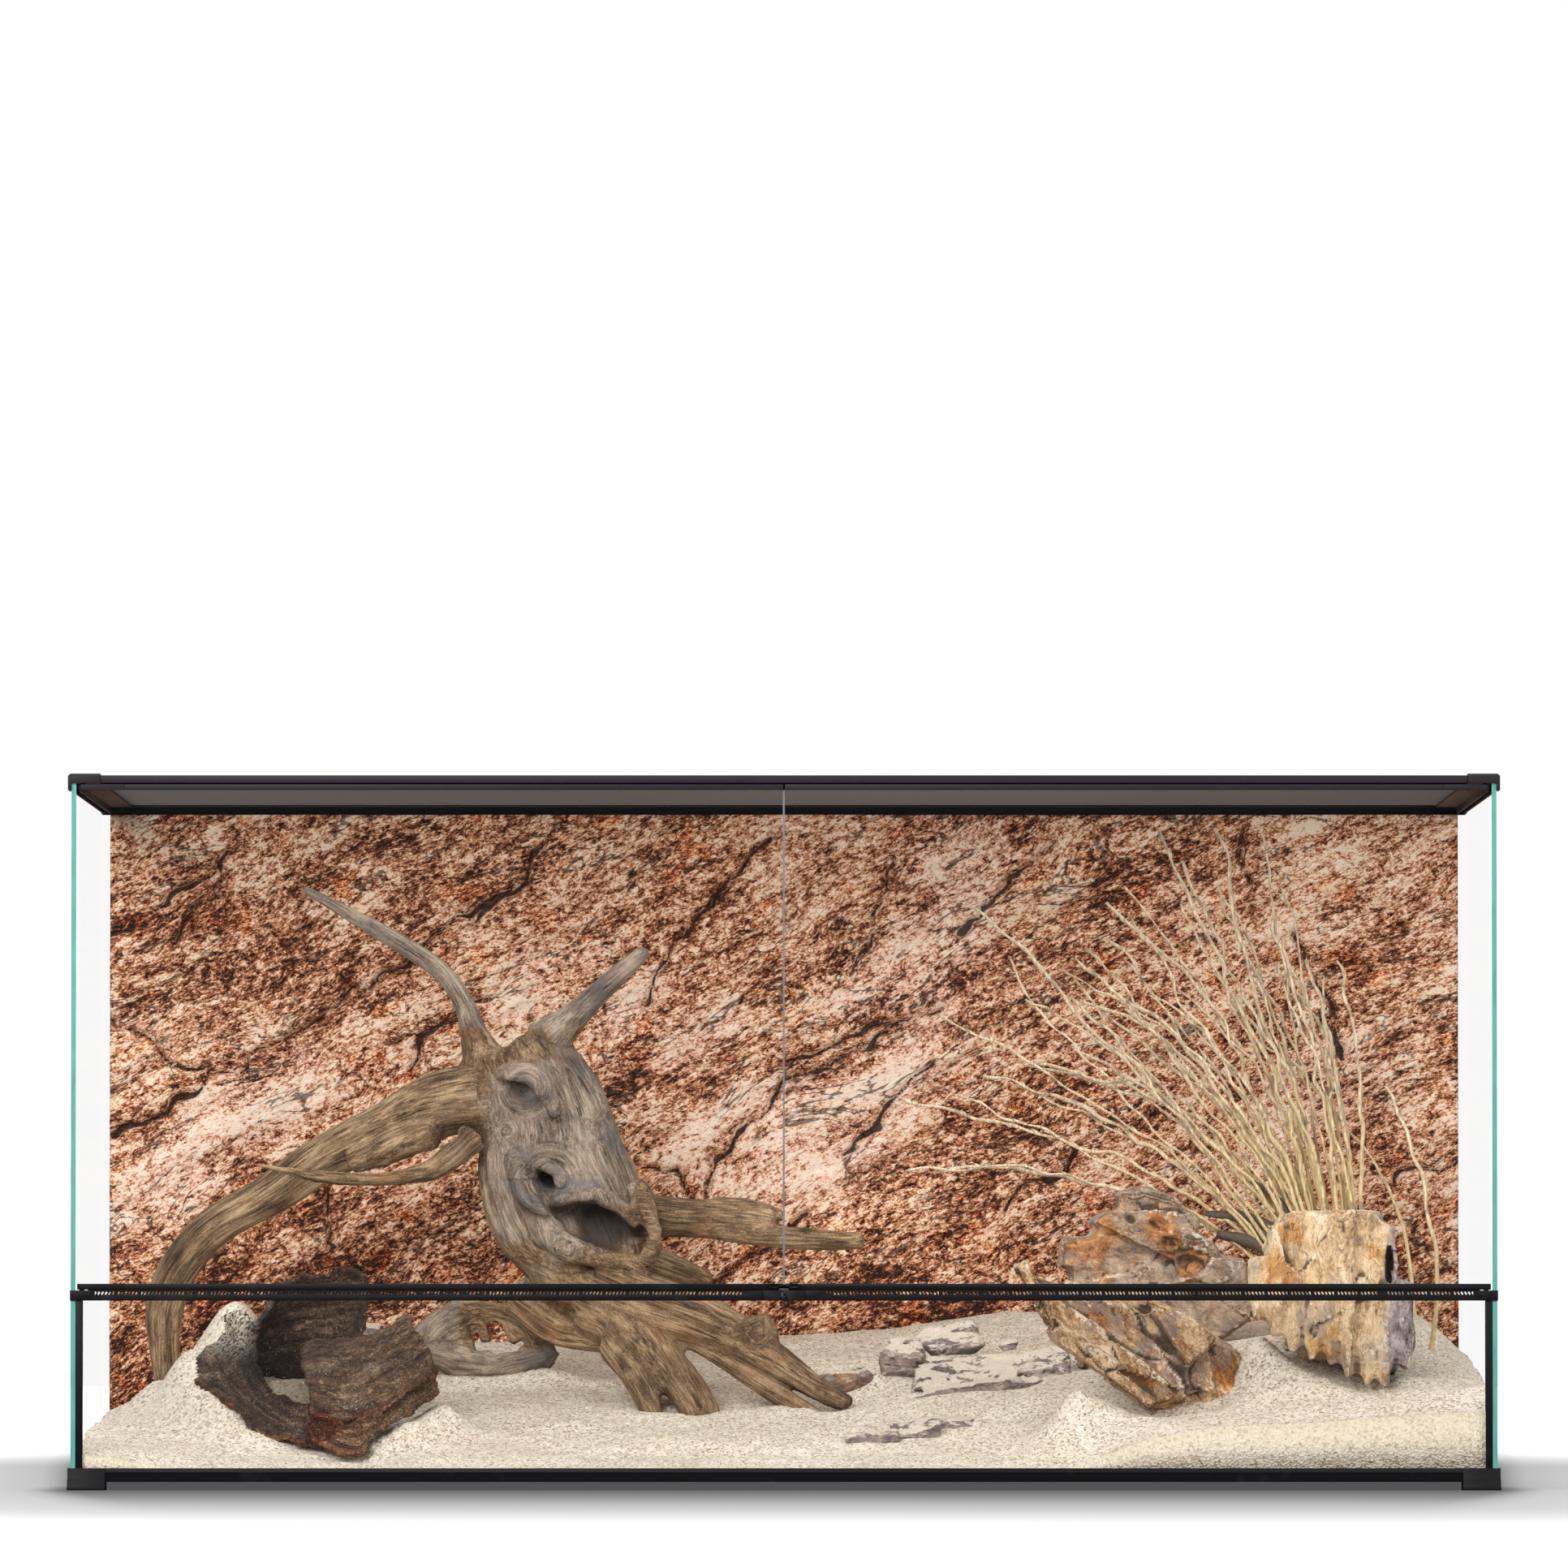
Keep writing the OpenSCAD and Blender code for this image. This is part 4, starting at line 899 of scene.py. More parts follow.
def wire_mesh(settings, material):
    """The lid's mesh: wires both ways, the cross wires lying on the long ones."""
    low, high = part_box("screen_mesh")
    growth = Growth("wire_mesh")
    width, depth, pitch, radius, finish = growth.inputs(
        Width=high[0] - low[0], Depth=high[1] - low[1], Pitch=settings.mesh_pitch,
        Radius=settings.wire_radius, Finish=material)

    def row(length, across, axis, height):
        """Parallel wires of a length along an axis, pitched over a distance."""
        count = growth.maths("FLOOR", across / pitch)
        start = count * pitch * -0.5
        wire = growth.node("GeometryNodeMeshCylinder", None, {
            "Vertices": WIRE_SIDES, "Radius": radius, "Depth": length})
        if axis == "X":
            first, step, turn = growth.vector(y=start, z=height), growth.vector(y=pitch), (0, QUARTER_TURN, 0)
        else:
            first, step, turn = growth.vector(x=start, z=height), growth.vector(x=pitch), (QUARTER_TURN, 0, 0)
        line = growth.node("GeometryNodeMeshLine", {"mode": "OFFSET"}, {
            "Count": count + 1.0, "Start Location": first, "Offset": step})
        return growth.node("GeometryNodeInstanceOnPoints", None, {
            "Points": line, "Instance": wire, "Rotation": turn})

    middle = (low[2] + high[2]) / 2
    lower = row(width, depth, "X", middle - radius)
    upper = row(depth, width, "Y", middle + radius)
    both = growth.node("GeometryNodeJoinGeometry", None, {0: lower})
    growth.tree.links.new(upper.socket, both.socket.node.inputs[0])
    piece = growth.mesh("lid_wire_mesh", both, finish)
    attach(piece, "screen_lid")
    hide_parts("screen_mesh")


# ---------- the landscape ----------

# Heights of the sand at four depths, each as x and z, and a heap against the bark
SAND_FRONT = [(-593, 31), (-510, 18), (245, 18), (267, 28), (302, 42), (363, 53), (454, 57), (593, 67)]
SAND_NEAR = [(-593, 38), (-510, 28), (180, 26), (300, 54), (450, 68), (530, 76), (593, 84)]
SAND_MIDDLE = [(-593, 48), (-540, 58), (-400, 62), (0, 66), (200, 84), (320, 112), (430, 128), (520, 118),
               (593, 98)]
SAND_REAR = [(-593, 60), (-550, 82), (-500, 112), (-400, 128), (-200, 120), (0, 125), (100, 133), (200, 150),
             (400, 140), (545, 155), (570, 140), (593, 116)]
SAND_DEPTHS = (-288.7, -243.7, -60, 276.7)
HEAP = {"x": -472, "y": 14, "height": 88, "wide": 46, "deep": 58}

# Lines where wood and stone meet the sand, each as x, y and z: the sand is banked up to them
BANKS = [
    [(-506, -16, 116), (-504, -50, 104), (-497, -84, 88), (-486, -112, 78), (-458, -158, 56),
     (-419, -196, 38)],
    [(-396, -210, 30), (-376, -222, 22), (-352, -226, 20), (-328, -196, 48), (-309, -178, 58),
     (-292, -150, 68)],
    [(-452, -40, 92), (-420, -2, 92), (-384, -12, 98)],
    [(250, -208, 84), (300, -200, 62), (340, -190, 62), (384, -170, 74)],
    [(404, -150, 128), (430, -176, 104), (470, -190, 88), (502, -190, 80), (524, -170, 96)],
    [(240, 20, 100), (300, 10, 96), (380, 14, 110)],
    [(36, -60, 62), (10, -52, 70)],
    [(-74, -70, 60), (-106, -64, 62)],
    [(-538, 152, 90), (-538, 140, 92)],
    [(-310, 100, 96), (-250, 98, 94), (-204, 98, 100)],
    [(84, 10, 96), (116, 10, 94), (140, -4, 90), (180, -30, 76)],
    [(204, 6, 96), (240, 4, 98)],
    [(548, 58, 112), (556, 60, 112)],
    [(460, 96, 132), (500, 104, 136)],
    [(-430, -92, 90), (-402, -88, 92)],
]


def sand_height(x, y):
    """Height of the sand at places, in millimetres."""
    rows = [np.interp(x, *zip(*row)) for row in (SAND_FRONT, SAND_NEAR, SAND_MIDDLE, SAND_REAR)]
    height = rows[0]
    for row, start, end in zip(rows[1:], SAND_DEPTHS, SAND_DEPTHS[1:]):
        share = np.clip((y - start) / (end - start), 0, 1)
        height = height + (row - height) * (share * 0.6 + share * share * (3 - 2 * share) * 0.4)
    heap = np.exp(-((x - HEAP["x"]) / HEAP["wide"]) ** 2 - ((y - HEAP["y"]) / HEAP["deep"]) ** 2)
    height = height + HEAP["height"] * heap
    for line in BANKS:
        line = smooth_path(line, 6)
        gap, foot = np.full(x.shape, 1e9), np.zeros(x.shape)
        for px, py, pz in line:
            away = np.hypot(x - px, y - py)
            foot = np.where(away < gap, pz, foot)
            gap = np.minimum(gap, away)
        lift = np.clip(foot - height, -12, 40)
        height = height + lift * np.exp(-(gap / 26) ** 2)
    return height


# A painted shadow on the sand inside the bark's curl: middle x and y, half widths
BARK_SHADOW_SPOT = (-412, -66, 46, 62)
SAND_GRID = (396, 192)                      # points of the sand's surface along x and y
GLASS_GAP = 0.2                             # from the glass to the sand
SAND_UNDER_RELIEF = 4                       # how far the sand stops short of the relief's back


def sand_bed(material):
    """The bed of sand, from the window glass to the rock relief."""
    low, high = box_mm("sand_bed")
    glass = box_mm("front_window_glass")[1][1] + GLASS_GAP
    xs = np.linspace(low[0], high[0], SAND_GRID[0])
    ys = np.linspace(glass, box_mm("rock_background")[1][1] - SAND_UNDER_RELIEF, SAND_GRID[1])
    x, y = np.meshgrid(xs, ys)
    spots = np.stack([x, y, 0 * x], axis=-1)
    height = sand_height(x, y)
    inside = ease(y, glass, glass + 60)
    height = height + inside * (2.6 * crags(spots, (90, 60, 40), 3) + 1.1 * crags(spots, (22, 18, 20), 9))
    height = height + 0.35 * crags(spots, (7, 6, 7), 14, 2)
    points, faces = heights_solid(xs, ys, height, low[2])
    damp = ((points[:, 1] < glass + 0.1) & (points[:, 2] > low[2])).astype(float)
    # The sand is painted darker there, as a shadow
    shadow_distance = np.hypot((points[:, 0] - BARK_SHADOW_SPOT[0]) / BARK_SHADOW_SPOT[2], (points[:, 1] - BARK_SHADOW_SPOT[1]) / BARK_SHADOW_SPOT[3])
    dirt = ease(shadow_distance, 1.25, 0.7)
    piece = make_piece("sand", points, faces, material, node="sand_bed", damp=damp, dirt=dirt)
    return piece


def loose_grains(settings, sand, material):
    """Coarse grains that lie scattered on the sand, as one mesh made by Geometry Nodes."""
    growth = Growth("loose_grains")
    surface, density, size, seed, finish = growth.inputs(
        Sand=None, Density=float(settings.grain_density), Size=settings.grain_size, Seed=settings.seed,
        Finish=material)
    upward = growth.part(growth.node("GeometryNodeInputNormal"), 2)
    spots = growth.node("GeometryNodeDistributePointsOnFaces", None, {
        "Mesh": surface, "Selection": upward > STEEPEST_BED, "Density": density, "Seed": seed})
    pebble = growth.node("GeometryNodeMeshIcoSphere", None, {"Radius": size, "Subdivisions": 1})
    turn = growth.node("FunctionNodeRandomValue", {"data_type": "FLOAT_VECTOR"}, {
        0: (0, 0, 0), 1: (FULL_TURN, FULL_TURN, FULL_TURN), "Seed": seed})
    scale = growth.node("FunctionNodeRandomValue", {"data_type": "FLOAT_VECTOR"}, {
        0: (0.45, 0.45, 0.35), 1: (1.3, 1.0, 0.8), "Seed": seed + 1})
    placed = growth.node("GeometryNodeInstanceOnPoints", None, {
        "Points": spots, "Instance": pebble, "Rotation": turn, "Scale": scale})
    piece = growth.mesh("loose_grains", placed, finish, sand.data)
    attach(piece, "enclosure")


# Cracks in the relief, each a line of x and z
CRACKS = [
    [(-592, 476), (-570, 488), (-544, 504), (-510, 528), (-474, 556)],
    [(-592, 404), (-558, 384), (-532, 368), (-484, 356), (-434, 392), (-346, 448), (-302, 480), (-246, 520)],
    [(-334, 356), (-324, 384), (-294, 410), (-258, 426)],
    [(-126, 414), (-110, 454), (-82, 492), (-56, 520), (-12, 564)],
    [(-126, 282), (-100, 268), (-82, 244), (-64, 274), (-34, 316), (4, 352), (66, 376), (102, 396)],
    [(0, 362), (26, 376), (58, 390), (92, 400), (136, 414)],
    [(58, 444), (74, 470), (84, 510), (96, 550)],
    [(536, 260), (564, 274), (594, 284)],
    [(406, 576), (398, 550), (406, 520)],
    [(444, 484), (472, 432), (492, 370)],
    [(-592, 308), (-548, 326), (-500, 362)],
    [(48, 290), (84, 312), (128, 370)],
    [(190, 246), (242, 274), (278, 308)],
    [(-198, 580), (-232, 528), (-276, 488)],
    [(-484, 554), (-500, 520), (-540, 470)],
    [(154, 484), (198, 528), (242, 564)],
    [(-74, 168), (-22, 202), (14, 238)],
    [(-400, 202), (-406, 238), (-400, 274)],
]


# Pale faces of the relief: x, z, half length, half width and how pale
PALE_FACES = [
    (38, 306, 124, 50, 1.1), (117, 466, 98, 34, 0.9), (150, 542, 50, 26, 0.7), (-72, 392, 42, 28, 0.9),
    (-138, 416, 40, 20, 0.7), (-60, 310, 60, 26, 0.6), (-490, 308, 96, 38, 0.9), (-545, 250, 50, 44, 0.7),
    (-232, 436, 60, 34, 0.4), (466, 334, 70, 50, 0.5), (202, 432, 60, 18, -0.8), (180, 296, 100, 60, -0.5),
    (292, 486, 44, 36, -0.7), (-470, 480, 160, 80, -0.6), (-64, 530, 56, 22, -0.7), (-300, 548, 90, 26, -0.4),
    (470, 226, 120, 60, -0.5),
]


def distance_to_lines(places, lines):
    """How far each place is from the nearest of several lines of points."""
    nearest = np.full(len(places), 1e9)
    for line in lines:
        for start, end in zip(np.array(line, float), np.array(line[1:], float)):
            run = end - start
            share = np.clip((places - start) @ run / (run @ run), 0, 1)
            gap = np.linalg.norm(places - start - share[:, None] * run, axis=1)
            nearest = np.minimum(nearest, gap)
    return nearest


def turned(x, z, angle):
    """Places of x and z in directions that are turned by an angle."""
    return x * math.cos(angle) + z * math.sin(angle), z * math.cos(angle) - x * math.sin(angle)


RELIEF_GRID = (440, 213)                    # points of the relief's surface along x and z
STRATA_RISE = math.radians(28)              # its layers rise to the right


def rock_relief(material):
    """The relief on the back wall: layers that rise to the right, with steps and cracks."""
    low, high = box_mm("rock_background")
    xs = np.linspace(low[0], high[0], RELIEF_GRID[0])
    zs = np.linspace(low[2], high[2], RELIEF_GRID[1])
    x, z = np.meshgrid(xs, zs)
    spots = np.stack([x, z, 0 * x], axis=-1)
    flat = np.stack([*turned(x, z, STRATA_RISE), 0 * x], axis=-1)
    shift = 9 * crags(spots, (60, 60, 60), 5)[..., None] * (0, 1, 0)
    wavy = flat + shift
    height = 7.4 + 2.6 * crags(wavy, (190, 70, 50), 21, 3)
    steps = lumps(wavy, (130, 26, 40), 31)
    height += 1.8 * np.tanh(4 * steps) + 1.2 * ridges(wavy, (80, 15, 30), 37)
    height += 1.3 * crags(wavy, (30, 7, 20), 41, 3)
    places = np.stack([x, z], axis=-1).reshape(-1, 2)
    jitter = 7 * np.stack([crags(spots, (26, 26, 26), seed, 3) for seed in (51, 57)], -1).reshape(-1, 2)
    gap = distance_to_lines(places + jitter, CRACKS).reshape(x.shape)
    width = 8 + 4 * crags(spots, (50, 50, 50), 61)
    crack = np.clip(1 - gap / np.maximum(width, 4), 0, 1)
    height = height - 4.5 * ease(crack, 0.35, 0.9)
    thickness = np.clip(height, 1.2, high[1] - low[1] - 0.1)
    points, faces = heights_solid(xs, zs, thickness, 0)
    points = np.stack([points[:, 0], high[1] - points[:, 2], points[:, 1]], axis=-1)
    pale = np.zeros(x.shape)
    for px, pz, half, thick, much in PALE_FACES:
        across, upward = turned(x - px, z - pz, STRATA_RISE * 1.4)
        wander = 0.35 * crags(spots, (40, 24, 24), 67, 3)
        pale += much * (1 - ease(np.hypot(across / half, upward / thick) + wander, 0.35, 1.45))
    # Painted shade: the relief darkens towards its bottom, behind the sand and the wood
    pale -= 0.9 * (1 - ease(z, 150, 260))
    extra = len(points) - crack.size
    # level paints shade on the relief: darker in its low places, lighter where it stands out
    crack, level, pale = (np.append(values, np.full(extra, rest)) for values, rest in (
        (crack, 0.0), (ease(height, 3, 13), 0.5), (pale, 0.0)))
    piece = make_piece("rock_relief", points, faces, material, node="rock_background", crack=crack,
                       level=level, pale=pale)


# Limbs of the driftwood, each a line of x, y, z and radius
TRUNK = [(-236, 44, 378, 40), (-218, 42, 342, 50), (-206, 40, 307, 56), (-200, 38, 272, 61),
         (-187, 36, 238, 63), (-172, 34, 200, 52), (-162, 28, 162, 32)]
LIMBS = {
    "left_horn": [(-258, 46, 362, 21), (-268, 50, 388, 13), (-277, 56, 415, 9.5), (-298, 62, 444, 8.5),
        (-340, 74, 472, 7.5), (-382, 88, 496, 6), (-418, 96, 516, 4.5)],
    "right_horn": [(-206, 40, 380, 20), (-176, 24, 409, 12), (-144, 6, 437, 9), (-118, -8, 459, 6.5)],
    "left_arm": [(-256, 46, 335, 33), (-303, 58, 326, 29), (-347, 72, 307, 22), (-396, 88, 283, 19),
        (-445, 104, 251, 17), (-494, 122, 223, 17), (-526, 138, 188, 17), (-540, 148, 153, 16),
        (-541, 152, 118, 13), (-538, 152, 84, 11)],
    "twig": [(-266, 12, 300, 14), (-298, -8, 273, 10), (-326, -18, 265, 7), (-353, -26, 262, 6),
        (-392, -32, 264, 6), (-414, -37, 267, 5), (-438, -42, 272, 3.5), (-467, -46, 278, 1.8)],
    "right_branch": [(-140, 30, 232, 21), (-92, 20, 230, 17), (-46, 10, 228, 15.5), (-8, 2, 225, 13.5)],
    "board": [(-54, 4, 218, 9), (0, -2, 212, 9), (40, -6, 210, 8.5), (68, -8, 210, 7)],
    "long_leg": [(-205, 34, 192, 30), (-160, 20, 172, 27), (-115, 4, 155, 24), (-60, -20, 137, 21),
        (-25, -36, 119, 17), (2, -50, 101, 13), (28, -60, 83, 10), (56, -68, 69, 7)],
    "lower_prong": [(-98, -8, 134, 7), (-60, -28, 112, 7), (-30, -46, 93, 8), (0, -60, 75, 9),
        (28, -70, 62, 7), (46, -75, 53, 4)],
    "stump": [(-28, -34, 128, 16), (-12, -44, 136, 14)],
    "spike": [(-16, -38, 116, 7), (20, -44, 101, 2)],
    "middle_leg": [(-160, 26, 158, 30), (-126, 0, 129, 19), (-98, -34, 98, 15), (-72, -70, 60, 11)],
    "prong": [(-146, 8, 120, 15), (-125, -34, 88, 11), (-108, -66, 56, 8)],
    "stub": [(-140, 62, 205, 16), (-64, 84, 174, 9)],
    "dark_limb": [(-230, 52, 168, 22), (-193, 56, 141, 20), (-150, 40, 130, 16)],
}
TRUNK_FLAT = 0.75
SWIRLS = [(-202, 262, 44), (-223, 340, 34), (-186, 204, 22), (-22, 132, 18), (-238, 304, 14), (-158, 306, 22)]
WOOD_FACE = 2.5                             # size of a face of the wood
LIMB_APART = 1000                           # keeps the grain of one limb apart from the next one's
LIMB_BLEND = 24                             # two limbs' grains mix where they are this close
CHUNK = 20000                               # points worked on at a time


def along_limbs(points, paths, flats):
    """For each point, its place in its nearest limb's own directions and in the next one's.

    A place is how far along the limb, then across it both ways. The third result is how far the
    second limb shows, from 0 to a half where two limbs meet.
    """
    places = np.empty((len(paths), len(points), 3))
    gaps = np.empty((len(paths), len(points)))
    for number, (path, flat) in enumerate(zip(paths, flats)):
        squeeze = np.array((1, 1 / flat, 1))
        along, across, up = carried_frame(path)
        run = np.concatenate([[0], np.cumsum(np.linalg.norm(np.diff(path[:, :3], axis=0), axis=1))])
        for rows in np.array_split(np.arange(len(points)), 1 + len(points) // CHUNK):
            offset = (points[rows, None] - path[None, :, :3]) * squeeze
            reach = np.linalg.norm(offset, axis=2) - path[:, 3]
            best = reach.argmin(axis=1)
            near = offset[np.arange(len(rows)), best]
            for axis, direction in enumerate((along, across, up)):
                places[number, rows, axis] = (near * direction[best]).sum(axis=1)
            places[number, rows, 0] += run[best] + LIMB_APART * number
            gaps[number, rows] = reach.min(axis=1)
    order = gaps.argsort(axis=0)[:2]
    every = np.arange(len(points))
    apart = gaps[order[1], every] - gaps[order[0], every]
    return places[order[0], every], places[order[1], every], np.clip(0.5 - apart / LIMB_BLEND, 0, 0.5)


def wood_skin(places):
    """How far the surface of weathered wood stands out at places along a limb."""
    flutes = 2.6 * lumps(places, (150, 22, 22), 101) + 1.5 * ridges(places, (120, 11, 11), 103)
    return flutes + 0.9 * lumps(places, (60, 5.5, 5.5), 107) + 0.45 * lumps(places, (40, 3, 3), 109)


# Ridges and lips that stand out on the trunk and the limbs
WOOD_RIDGES = [
    [(-246, 4, 352, 6), (-234, -8, 356, 7), (-214, -10, 350, 8), (-200, -8, 334, 7), (-196, -4, 316, 6)],
    [(-236, 0, 284, 7), (-228, -10, 268, 9), (-222, -12, 250, 10), (-206, -14, 240, 9),
     (-184, -13, 236, 7)],
    [(-208, -4, 246, 6), (-186, -12, 240, 8), (-164, -13, 248, 8), (-144, -10, 240, 8), (-128, -6, 220, 7)],
    [(-128, 6, 258, 10), (-118, -8, 236, 9), (-110, -16, 214, 8), (-118, -14, 196, 9), (-134, -6, 184, 10)],
    [(-214, -2, 226, 8), (-198, -12, 210, 9), (-176, -16, 200, 9), (-146, -14, 194, 10),
     (-118, -6, 186, 9)],
    [(-160, -2, 184, 9), (-108, -20, 166, 10), (-58, -42, 142, 9), (-30, -52, 128, 6)],
    [(-30, -44, 116, 7), (4, -58, 94, 6), (34, -70, 78, 4), (50, -74, 70, 2.5)],
    [(-146, -6, 140, 10), (-118, -26, 110, 10), (-112, -44, 84, 7), (-110, -66, 60, 4)],
    [(-112, 4, 130, 9), (-86, -28, 100, 9), (-66, -54, 74, 6), (-56, -66, 60, 3)],
    [(-60, 8, 240, 6), (-26, 2, 238, 7), (0, -2, 232, 4)],
    [(-30, -6, 216, 6), (20, -9, 216, 5), (60, -12, 214, 3)],
    [(-300, 26, 300, 12), (-336, 44, 290, 11), (-372, 62, 278, 9)],
]
# Outline of the trunk's mouth, then its hollows, as centre, half sizes, bumps and seed
MOUTH = [(-205, 240), (-184, 236), (-164, 243), (-144, 234), (-125, 212), (-130, 201), (-159, 202),
         (-184, 215)]
WOOD_HOLES = [
    [((-223, -16, 340), (16, 13, 11), 0.3, 1), ((-202, -14, 262), (16, 26, 16), 0.25, 2)],
    [((-186, -26, 205), (5, 11, 4), 0.2, 4), ((-120, -12, 200), (6, 9, 5), 0.2, 6),
     ((-22, -60, 133), (7, 10, 6), 0.3, 5), ((-178, 60, 176), (16, 40, 5), 0.3, 7),
     ((-292, 8, 300), (15, 22, 7), 0.3, 9)],
]
# Wedges that split the ends of two legs, each a line and how flat it is
WOOD_SPLITS = [
    ([(-76, -36, 123, 1.5), (-34, -48, 107, 2.6), (0, -62, 87.5, 3), (24, -70, 73, 3.4),
      (52, -78, 58, 3.4)], 5.0),
    ([(-114, -40, 100, 1.5), (-105, -58, 84, 3.5), (-95, -76, 56, 6)], 4.0),
]
CURL = [(-218, -4, 272, 4), (-208, -12, 276, 4.5), (-196, -14, 270, 4), (-190, -12, 258, 4)]
# Painted shade deep inside the mouth and the holes: centre and size
DARK_HOLES = [((-222, 4, 338), 20), ((-204, 8, 264), 20), ((-156, 12, 222), 32), ((-134, 10, 216), 18)]


def knobbly(path, sides, step, girth, size, much, seed, flat=1.0):
    """A tube whose thickness varies with lumps of a size along it and round its girth."""
    def swell(ring, side):
        """How much thicker the tube is at a ring and a side."""
        place = np.stack([ring * step, girth * np.cos(side), girth * np.sin(side)], axis=-1)
        return 1 + much * lumps(place, size, seed)
    return tube(path, sides, flat, swell)


def limb(line, step=6.0, sides=14, flat=1.0):
    """A plain tube along a smooth line."""
    return tube(smooth_path(line, step), sides, flat)


def swirled(points, after, blend):
    """The second grain and its share, with rings round the knots and holes in front."""
    for x, z, reach in SWIRLS:
        aside = points[:, (0, 2)] - (x, z)
        gap = np.linalg.norm(aside, axis=1)
        share = (1 - ease(gap, reach * 0.45, reach)) * (points[:, 1] < 40)
        ring = np.stack([np.arctan2(aside[:, 1], aside[:, 0]) * reach * 0.6, gap, points[:, 1]], axis=1)
        after = np.where((share > blend)[:, None], ring, after)
        blend = np.maximum(blend, share)
    return after, blend


def driftwood(material):
    """A twisted root with two horns, a long arm, a branch to the right and three legs."""
    flats = [TRUNK_FLAT] + [1.0] * len(LIMBS)
    paths = [smooth_path(line, 8) for line in (TRUNK, *LIMBS.values())]
    shells = [knobbly(path, 28, 8.0, 30, (60, 26, 26), 0.10, 70 + seed, flat)
              for seed, (path, flat) in enumerate(zip(paths, flats))]
    shells += [limb(line) for line in WOOD_RIDGES]
    first, others = ([ball(*hole) for hole in group] for group in WOOD_HOLES)
    splits = [limb(line, 5, 12, flat) for line, flat in WOOD_SPLITS]
    points, faces = fused(shells, WOOD_FACE, [*first, block(MOUTH, -44, 24, 1.15), *others, *splits])
    points, faces = fused([(points, faces.tolist()), limb(CURL, 4, 12)], WOOD_FACE)
    points = softened(points, faces, 3)
    near, after, blend = along_limbs(points, paths, flats)
    after, blend = swirled(points, after, blend)
    rise = wood_skin(near) * (1 - blend) + wood_skin(after) * blend
    thinnest = np.clip(np.array([path[:, 3].min() for path in paths]), 3, 12)
    thin = thinnest[(near[:, 0] // LIMB_APART).astype(int)] / 12
    points = points + outward(points, faces) * (rise * thin)[:, None]
    # Painted shade deep inside the mouth and the holes
    hollow = np.zeros(len(points))
    for centre, size in DARK_HOLES:
        inward = ease(points[:, 1] - centre[1], -14, 4)
        close = 1 - ease(np.linalg.norm(points - centre, axis=1), size * 0.6, size)
        hollow = np.maximum(hollow, inward * close)
    body = np.exp(-(((points[:, 0] + 190) / 75) ** 2) - ((points[:, 2] - 290) / 90) ** 2)
    body = np.maximum(body, 0.75 * ease(points[:, 2], 375, 410))
    piece = make_piece("driftwood", points, faces, material, node="driftwood_root", grain=near * MM,
                       grain_next=after * MM, blend=blend, hollow=hollow, grey=np.clip(body * 1.3, 0, 1))


SHEET_COLUMNS = 26                          # points across a sheet of bark
SHEET_STEP = 5.0                            # from point to point along it
SHEET_WIDTH = 60.0                          # its width in the grain's own measure
SHEET_APART = 500                           # keeps the grain of one sheet apart from the next one's


def resampled(line, count):
    """A line of as many points as asked for."""
    spread = np.linspace(0, 1, count)
    return np.stack([np.interp(spread, np.linspace(0, 1, len(line)), line[:, axis]) for axis in range(3)], 1)


def bent_sheet(low, high, thick, bulge, ragged, seed):
    """A closed curved sheet between two edges, its middle points, outward directions and own places."""
    lower = smooth_path(low, SHEET_STEP)
    upper = smooth_path(high, SHEET_STEP)
    count = max(len(lower), len(upper))
    lower = resampled(lower, count)
    upper = resampled(upper, count)
    across = np.linspace(0, 1, SHEET_COLUMNS)
    sheet = lower[:, None] + (upper - lower)[:, None] * across[:, None]
    over = np.gradient(sheet, axis=1)
    face = np.cross(np.gradient(sheet, axis=0), over)
    face /= np.maximum(np.linalg.norm(face, axis=2, keepdims=True), 1e-9)
    torn = ragged * crags(sheet, (14, 14, 14), seed, 3)[..., None]
    edge = torn * over / np.linalg.norm(over, axis=2, keepdims=True)
    sheet = sheet + edge * (np.abs(across - 0.5) * 2)[:, None] ** 3
    sheet = sheet + face * (bulge * 4 * across * (1 - across))[:, None]
    half = face * (thick / 2 * (0.75 + 0.35 * lumps(sheet, (18, 18, 18), seed + 5)))[..., None]
    points = np.vstack([(sheet + half).reshape(-1, 3), (sheet - half).reshape(-1, 3)])
    quads, rim = grid_faces(SHEET_COLUMNS, count)
    total = count * SHEET_COLUMNS
    after = np.roll(rim, -1)
    side = np.stack([rim, after, after + total, rim + total], axis=-1)
    faces = np.vstack([quads[:, (0, 3, 2, 1)], quads[:, (1, 2, 3, 0)] + total, side])
    places = np.stack(np.broadcast_arrays(
        np.arange(count)[:, None] * SHEET_STEP, across * SHEET_WIDTH, 0.0), axis=-1)
    return (points, faces.tolist()), sheet.reshape(-1, 3), face.reshape(-1, 3), places.reshape(-1, 3)


